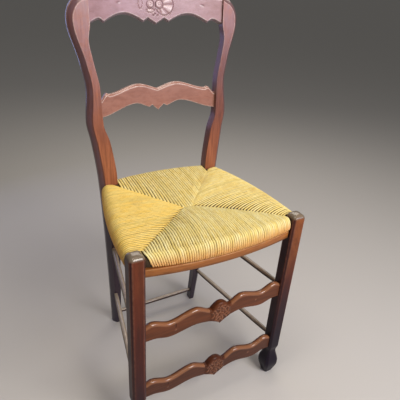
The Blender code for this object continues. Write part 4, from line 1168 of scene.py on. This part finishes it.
# Twisted bulrush, dried: golden to greenish straw with a dry, faintly waxy skin, spiral lines of the twist,
# and cords that differ because each is made of other leaves
rush, rush_tree, rush_shader = new_finish("bulrush_twisted_dry")
rush_place = add_node(rush_tree, "ShaderNodeAttribute", attribute_name="rush").outputs["Vector"]
around, along, leaf_kind = add_node(rush_tree, "ShaderNodeSeparateXYZ", {0: rush_place}).outputs[:3]
rush_tone = add_node(rush_tree, "ShaderNodeAttribute", attribute_name="rush_tone").outputs["Color"]
roll_shaded, golden, gaping = add_node(rush_tree, "ShaderNodeSeparateColor", {0: rush_tone}).outputs[:3]
# Leaf edges wind round the cord once in 26 mm
turns = add_node(rush_tree, "ShaderNodeMath", {0: along, 1: 1 / CORD_TWIST}, operation="MULTIPLY")
spiral = add_node(rush_tree, "ShaderNodeMath", {0: turns.outputs[0], 1: around}, operation="ADD")
wound = add_node(rush_tree, "ShaderNodeCombineXYZ", {0: spiral.outputs[0], 1: along, 2: leaf_kind}).outputs[0]
rush_object = add_node(rush_tree, "ShaderNodeTexCoord").outputs["Object"]
rush_noises, rush_shares = {}, {}
for pattern, place, stretch, low, high, most in (
        # The leaf's ribs are 0.5 mm apart, drawn 2 mm apart so that they show
        ("ribs", wound, (9, 30, 700), 0.5, 0.75, 0.4),
        # Each leaf keeps its colour for about 90 mm
        ("leaves", wound, (0.7, 11, 400), 0.35, 0.68, 1),
        # Worn and stained patches about 60 mm across
        ("patches", rush_object, (17, 17, 17), 0.55, 0.75, 0.45)):
    space = add_node(rush_tree, "ShaderNodeVectorMath", {0: place, 1: stretch}, operation="MULTIPLY")
    noise = add_node(rush_tree, "ShaderNodeTexNoise", {"Vector": space.outputs[0], "Scale": 1, "Detail": 2})
    share = add_node(rush_tree, "ShaderNodeMapRange", {"Value": noise.outputs[0], "From Min": low,
                                                       "From Max": high, "To Min": 0, "To Max": most})
    rush_noises[pattern], rush_shares[pattern] = noise.outputs[0], share.outputs[0]
# One cord in a few was wound from leaf cut green, which dries duller
dull = add_node(rush_tree, "ShaderNodeMapRange", {"Value": leaf_kind, "From Min": 0.6, "From Max": 1,
                                                  "To Min": 0, "To Max": 0.45})
# Painted warm shade on the lower part of the roll
roll_shade_tint = add_node(rush_tree, "ShaderNodeMath", {0: roll_shaded, 1: 0.75}, operation="MULTIPLY")
# Valleys between cords are darkened, partly by dust and partly as painted shade
off_top = add_node(rush_tree, "ShaderNodeMath", {0: around, 1: 0.5}, operation="SUBTRACT")
flank = add_node(rush_tree, "ShaderNodeMath", {0: off_top.outputs[0]}, operation="ABSOLUTE")
valley = add_node(rush_tree, "ShaderNodeMapRange", {"Value": flank.outputs[0], "From Min": 0.11,
                                                    "From Max": 0.24, "To Min": 0, "To Max": 0.9})
valley_dust_and_shade = add_node(rush_tree, "ShaderNodeMath", {0: valley.outputs[0], 1: gaping}, operation="MULTIPLY")
leaf_pale = add_node(rush_tree, "ShaderNodeMix", {0: rush_shares["leaves"], 6: linear("eedd8d"),
                                                  7: linear("f3ecb4")}, data_type="RGBA")
leaf_golden = add_node(rush_tree, "ShaderNodeMix", {0: rush_shares["leaves"], 6: linear("eac75f"),
                                                    7: linear("ebd27c")}, data_type="RGBA")
rush_colour = add_node(rush_tree, "ShaderNodeMix", {0: golden, 6: leaf_pale.outputs[2],
                                                    7: leaf_golden.outputs[2]}, data_type="RGBA").outputs[2]
# Over the leaf colour: duller cords, patches, the roll's painted warm shade, ribs, and dust and painted shade
# in the valleys
for share, code in ((dull.outputs[0], "c4b262"), (rush_shares["patches"], "c9a85a"),
                    (roll_shade_tint.outputs[0], "eda45a"), (rush_shares["ribs"], "aa8c4a"),
                    (valley_dust_and_shade.outputs[0], "6f5524")):
    rush_colour = add_node(rush_tree, "ShaderNodeMix", {0: share, 6: rush_colour, 7: linear(code)},
                           data_type="RGBA").outputs[2]
rush_bump = add_node(rush_tree, "ShaderNodeBump", {"Height": rush_noises["ribs"], "Strength": 0.35,
                                                   "Distance": 0.0006})
fill_sockets(rush_tree, rush_shader, {"Base Color": rush_colour, "Normal": rush_bump.outputs[0],
                                      "Roughness": 0.55, "Specular IOR Level": 0.3})

cords = add_mesh("rush_cords", cord_verts, cord_faces, rush)
cords.data.attributes.new("rush", "FLOAT_VECTOR", "POINT").data.foreach_set("vector", rush_marks)
cords.data.attributes.new("rush_tone", "FLOAT_COLOR", "POINT").data.foreach_set("color", rush_tones)
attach(cords, "root")
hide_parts("rush_seat")


# Packing: waste rush stuffed between the upper and lower cords, which keeps light from showing through and
# gives the seat its body. Only slits of it are seen, in shade, between cords and beside the legs.

PACKING_DEPTH = 0.0025
PACKING_UNDER = 0.0058
PACKING_INSETS = (0.0, 0.12, 0.25, 0.4, 0.55, 0.7, 0.85, 0.96)
PACKING_INSET_END = 0.99
PACKING_CLEAR = 0.002
PACKING_PITCH = 0.03
PACKING_SIDE_PITCH = 0.04
PACKING_ROLL = ((0.0060, -0.0148), (0.0105, -0.0112), (0.0118, -0.004), (0.0118, 0.004), (0.0085, 0.0095))


def packing_outline():
    """Points (x, y, out x, out y) inside the rails, clear of the legs and posts, with the way outwards."""
    leg_in = LEG_INSIDE - PACKING_CLEAR
    leg_back = LEG_BACK + PACKING_CLEAR
    post_in = smooth(POST_INNER, RAIL_Z) - PACKING_CLEAR
    post_near = post_front(RAIL_Z) - PACKING_CLEAR
    half = [(x, front_line(x), 0, -1) for x in fine_levels((0, leg_in), PACKING_PITCH)[1:]]
    half += [(side_rail_x(y), y, 1, 0) for y in fine_levels((leg_back, post_near), PACKING_SIDE_PITCH)]
    half += [(post_in - x, REAR_RAIL_Y, 0, 1) for x in fine_levels((0, post_in), PACKING_PITCH)[:-1]]
    other = [(-x, y, -out_x, out_y) for x, y, out_x, out_y in reversed(half)]
    return [(0, front_line(0), 0, -1)] + half + [(0, REAR_RAIL_Y, 0, 1)] + other


def packing_height(x, y):
    """Height of the cords' top over a point, from the panel that covers it."""
    if y < RIDGE_Y:
        rail_y, corner_x = FRONT_RAIL_Y, FRONT_CORNER_X
    else:
        rail_y, corner_x = REAR_RAIL_Y, REAR_CORNER_X
    inset = max(0, (y - rail_y) / (RIDGE_Y - rail_y))
    ridge = RIDGE_LEFT if x < 0 else RIDGE_RIGHT
    side_inset = max(0, (side_rail_x(y) - abs(x)) / (side_rail_x(y) - abs(ridge)))
    if inset < side_inset:
        return rush_height(inset, share_across(x, corner_x, inset))
    inset = min(PACKING_INSET_END, side_inset)
    return rush_height(inset, share_back(y, inset))


outline = packing_outline()
centre_x = (RIDGE_LEFT + RIDGE_RIGHT) / 2
pad_rings = []
for inset in reversed(PACKING_INSETS):
    z = RAIL_Z - ROLL_RADIUS + PACKING_DEPTH + RUSH_HOLLOW * inset
    pad_rings.append([(x + (centre_x - x) * inset, y + (RIDGE_Y - y) * inset, z) for x, y, _, _ in outline])
for out, rise in PACKING_ROLL:
    pad_rings.append([(x + out * out_x, y + out * out_y, RAIL_Z + rise) for x, y, out_x, out_y in outline])
for inset in PACKING_INSETS:
    ring = []
    for x, y, _, _ in outline:
        px, py = x + (centre_x - x) * inset, y + (RIDGE_Y - y) * inset
        ring.append((px, py, packing_height(px, py) - PACKING_UNDER))
    pad_rings.append(ring)
packing_fibre, packing_tree, packing_shader = new_finish("bulrush_waste_packing")
# Crumpled brown leaf, about 8 mm to a crumple, dull, and painted dark as painted shade in the slits between
# cords
packing_place = add_node(packing_tree, "ShaderNodeTexCoord").outputs["Object"]
crumple = add_node(packing_tree, "ShaderNodeTexNoise", {"Vector": packing_place, "Scale": 125, "Detail": 4})
packing_colour = add_node(packing_tree, "ShaderNodeMix", {0: crumple.outputs[0], 6: linear("2e2010"),
                                                          7: linear("45331a")}, data_type="RGBA")
packing_bump = add_node(packing_tree, "ShaderNodeBump", {"Height": crumple.outputs[0], "Strength": 0.5,
                                                         "Distance": 0.002})
fill_sockets(packing_tree, packing_shader, {"Base Color": packing_colour.outputs[2],
                                            "Normal": packing_bump.outputs[0], "Roughness": 0.85})
packing = add_mesh("rush_packing", [point for ring in pad_rings for point in ring],
                   loft_faces(len(pad_rings), len(outline)), packing_fibre)
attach(packing, "root")


# Studio: a plain pale floor in a pale room, and five soft lamps. One in front lights the stool, a bluish
# panel at the front right shows in the varnish of the back, a long one overhead shines along the foot rails,
# and two behind light the leg tops and the outside of the left post.

FLOOR_HALF = 200
painted, paint_tree, paint_shader = new_finish("floor_matt_pale_paint")
fill_sockets(paint_tree, paint_shader, {"Base Color": linear("c8c5c0"), "Roughness": 0.8})
floor_corners = [(-FLOOR_HALF, -FLOOR_HALF, 0), (FLOOR_HALF, -FLOOR_HALF, 0),
                 (FLOOR_HALF, FLOOR_HALF, 0), (-FLOOR_HALF, FLOOR_HALF, 0)]
floor = add_mesh("floor", floor_corners, [(0, 1, 2, 3)], painted)


def add_soft_box(name, place, aim, size, power, code):
    lamp = bpy.data.lights.new(name, "AREA")
    lamp.shape = "RECTANGLE"
    lamp.size, lamp.size_y = size
    lamp.energy = power
    lamp.color = linear(code)[:3]
    holder = bpy.data.objects.new(name, lamp)
    bpy.context.scene.collection.objects.link(holder)
    holder.location = place
    holder.visible_camera = False
    holder.rotation_euler = (Vector(aim) - Vector(place)).to_track_quat("-Z", "Y").to_euler()


add_soft_box("soft_box_front", (0.55, -1.62, 1.80), (0, 0, 0.7), (1.0, 1.0), 35, "fff8ee")
add_soft_box("panel_front_right", (0.86, -1.70, 1.38), (0, 0.2, 1.08), (1.2, 0.7), 12.5, "d6d9ff")
add_soft_box("panel_behind", (0.85, 1.40, 1.95), (0, 0, 0.5), (1.8, 0.8), 12, "fff6ea")
add_soft_box("soft_box_ceiling", (-0.3, -0.25, 2.4), (0, -0.22, 0.4), (0.3, 1.0), 12, "fff2e4")
add_soft_box("panel_behind_left", (-0.48, 1.5, 1.1), (-0.2, 0.2, 1.0), (0.5, 1.1), 3.0, "b4beff")

world = bpy.data.worlds.new("pale_room")
bpy.context.scene.world = world
world.use_nodes = True
room = world.node_tree.nodes["Background"]
fill_sockets(world.node_tree, room, {"Color": linear("e8e6e4"), "Strength": 0.17})

# Camera: where the photograph was taken from, found from the stool's own perspective
CAMERA_PLACE = (-0.4866, -0.9343, 1.1828)
CAMERA_YAW = math.radians(29.877)
CAMERA_PITCH = math.radians(29.001)
CAMERA_ROLL = math.radians(3.836)
lens = bpy.data.cameras.new("camera")
lens.sensor_width = 36
lens.lens = 37.505
lens.clip_start = 0.02
camera = bpy.data.objects.new("camera", lens)
bpy.context.scene.collection.objects.link(camera)
level_forward = Vector((math.sin(CAMERA_YAW), math.cos(CAMERA_YAW), 0))
forward = level_forward * math.cos(CAMERA_PITCH) - Vector((0, 0, math.sin(CAMERA_PITCH)))
level_right = Vector((math.cos(CAMERA_YAW), -math.sin(CAMERA_YAW), 0))
level_up = level_right.cross(forward)
right = level_right * math.cos(CAMERA_ROLL) + level_up * math.sin(CAMERA_ROLL)
up = level_up * math.cos(CAMERA_ROLL) - level_right * math.sin(CAMERA_ROLL)
turned = [[right[i], up[i], -forward[i], CAMERA_PLACE[i]] for i in range(3)]
camera.matrix_world = Matrix(turned + [[0, 0, 0, 1]])
bpy.context.scene.camera = camera
bpy.context.scene.view_settings.view_transform = "Standard"
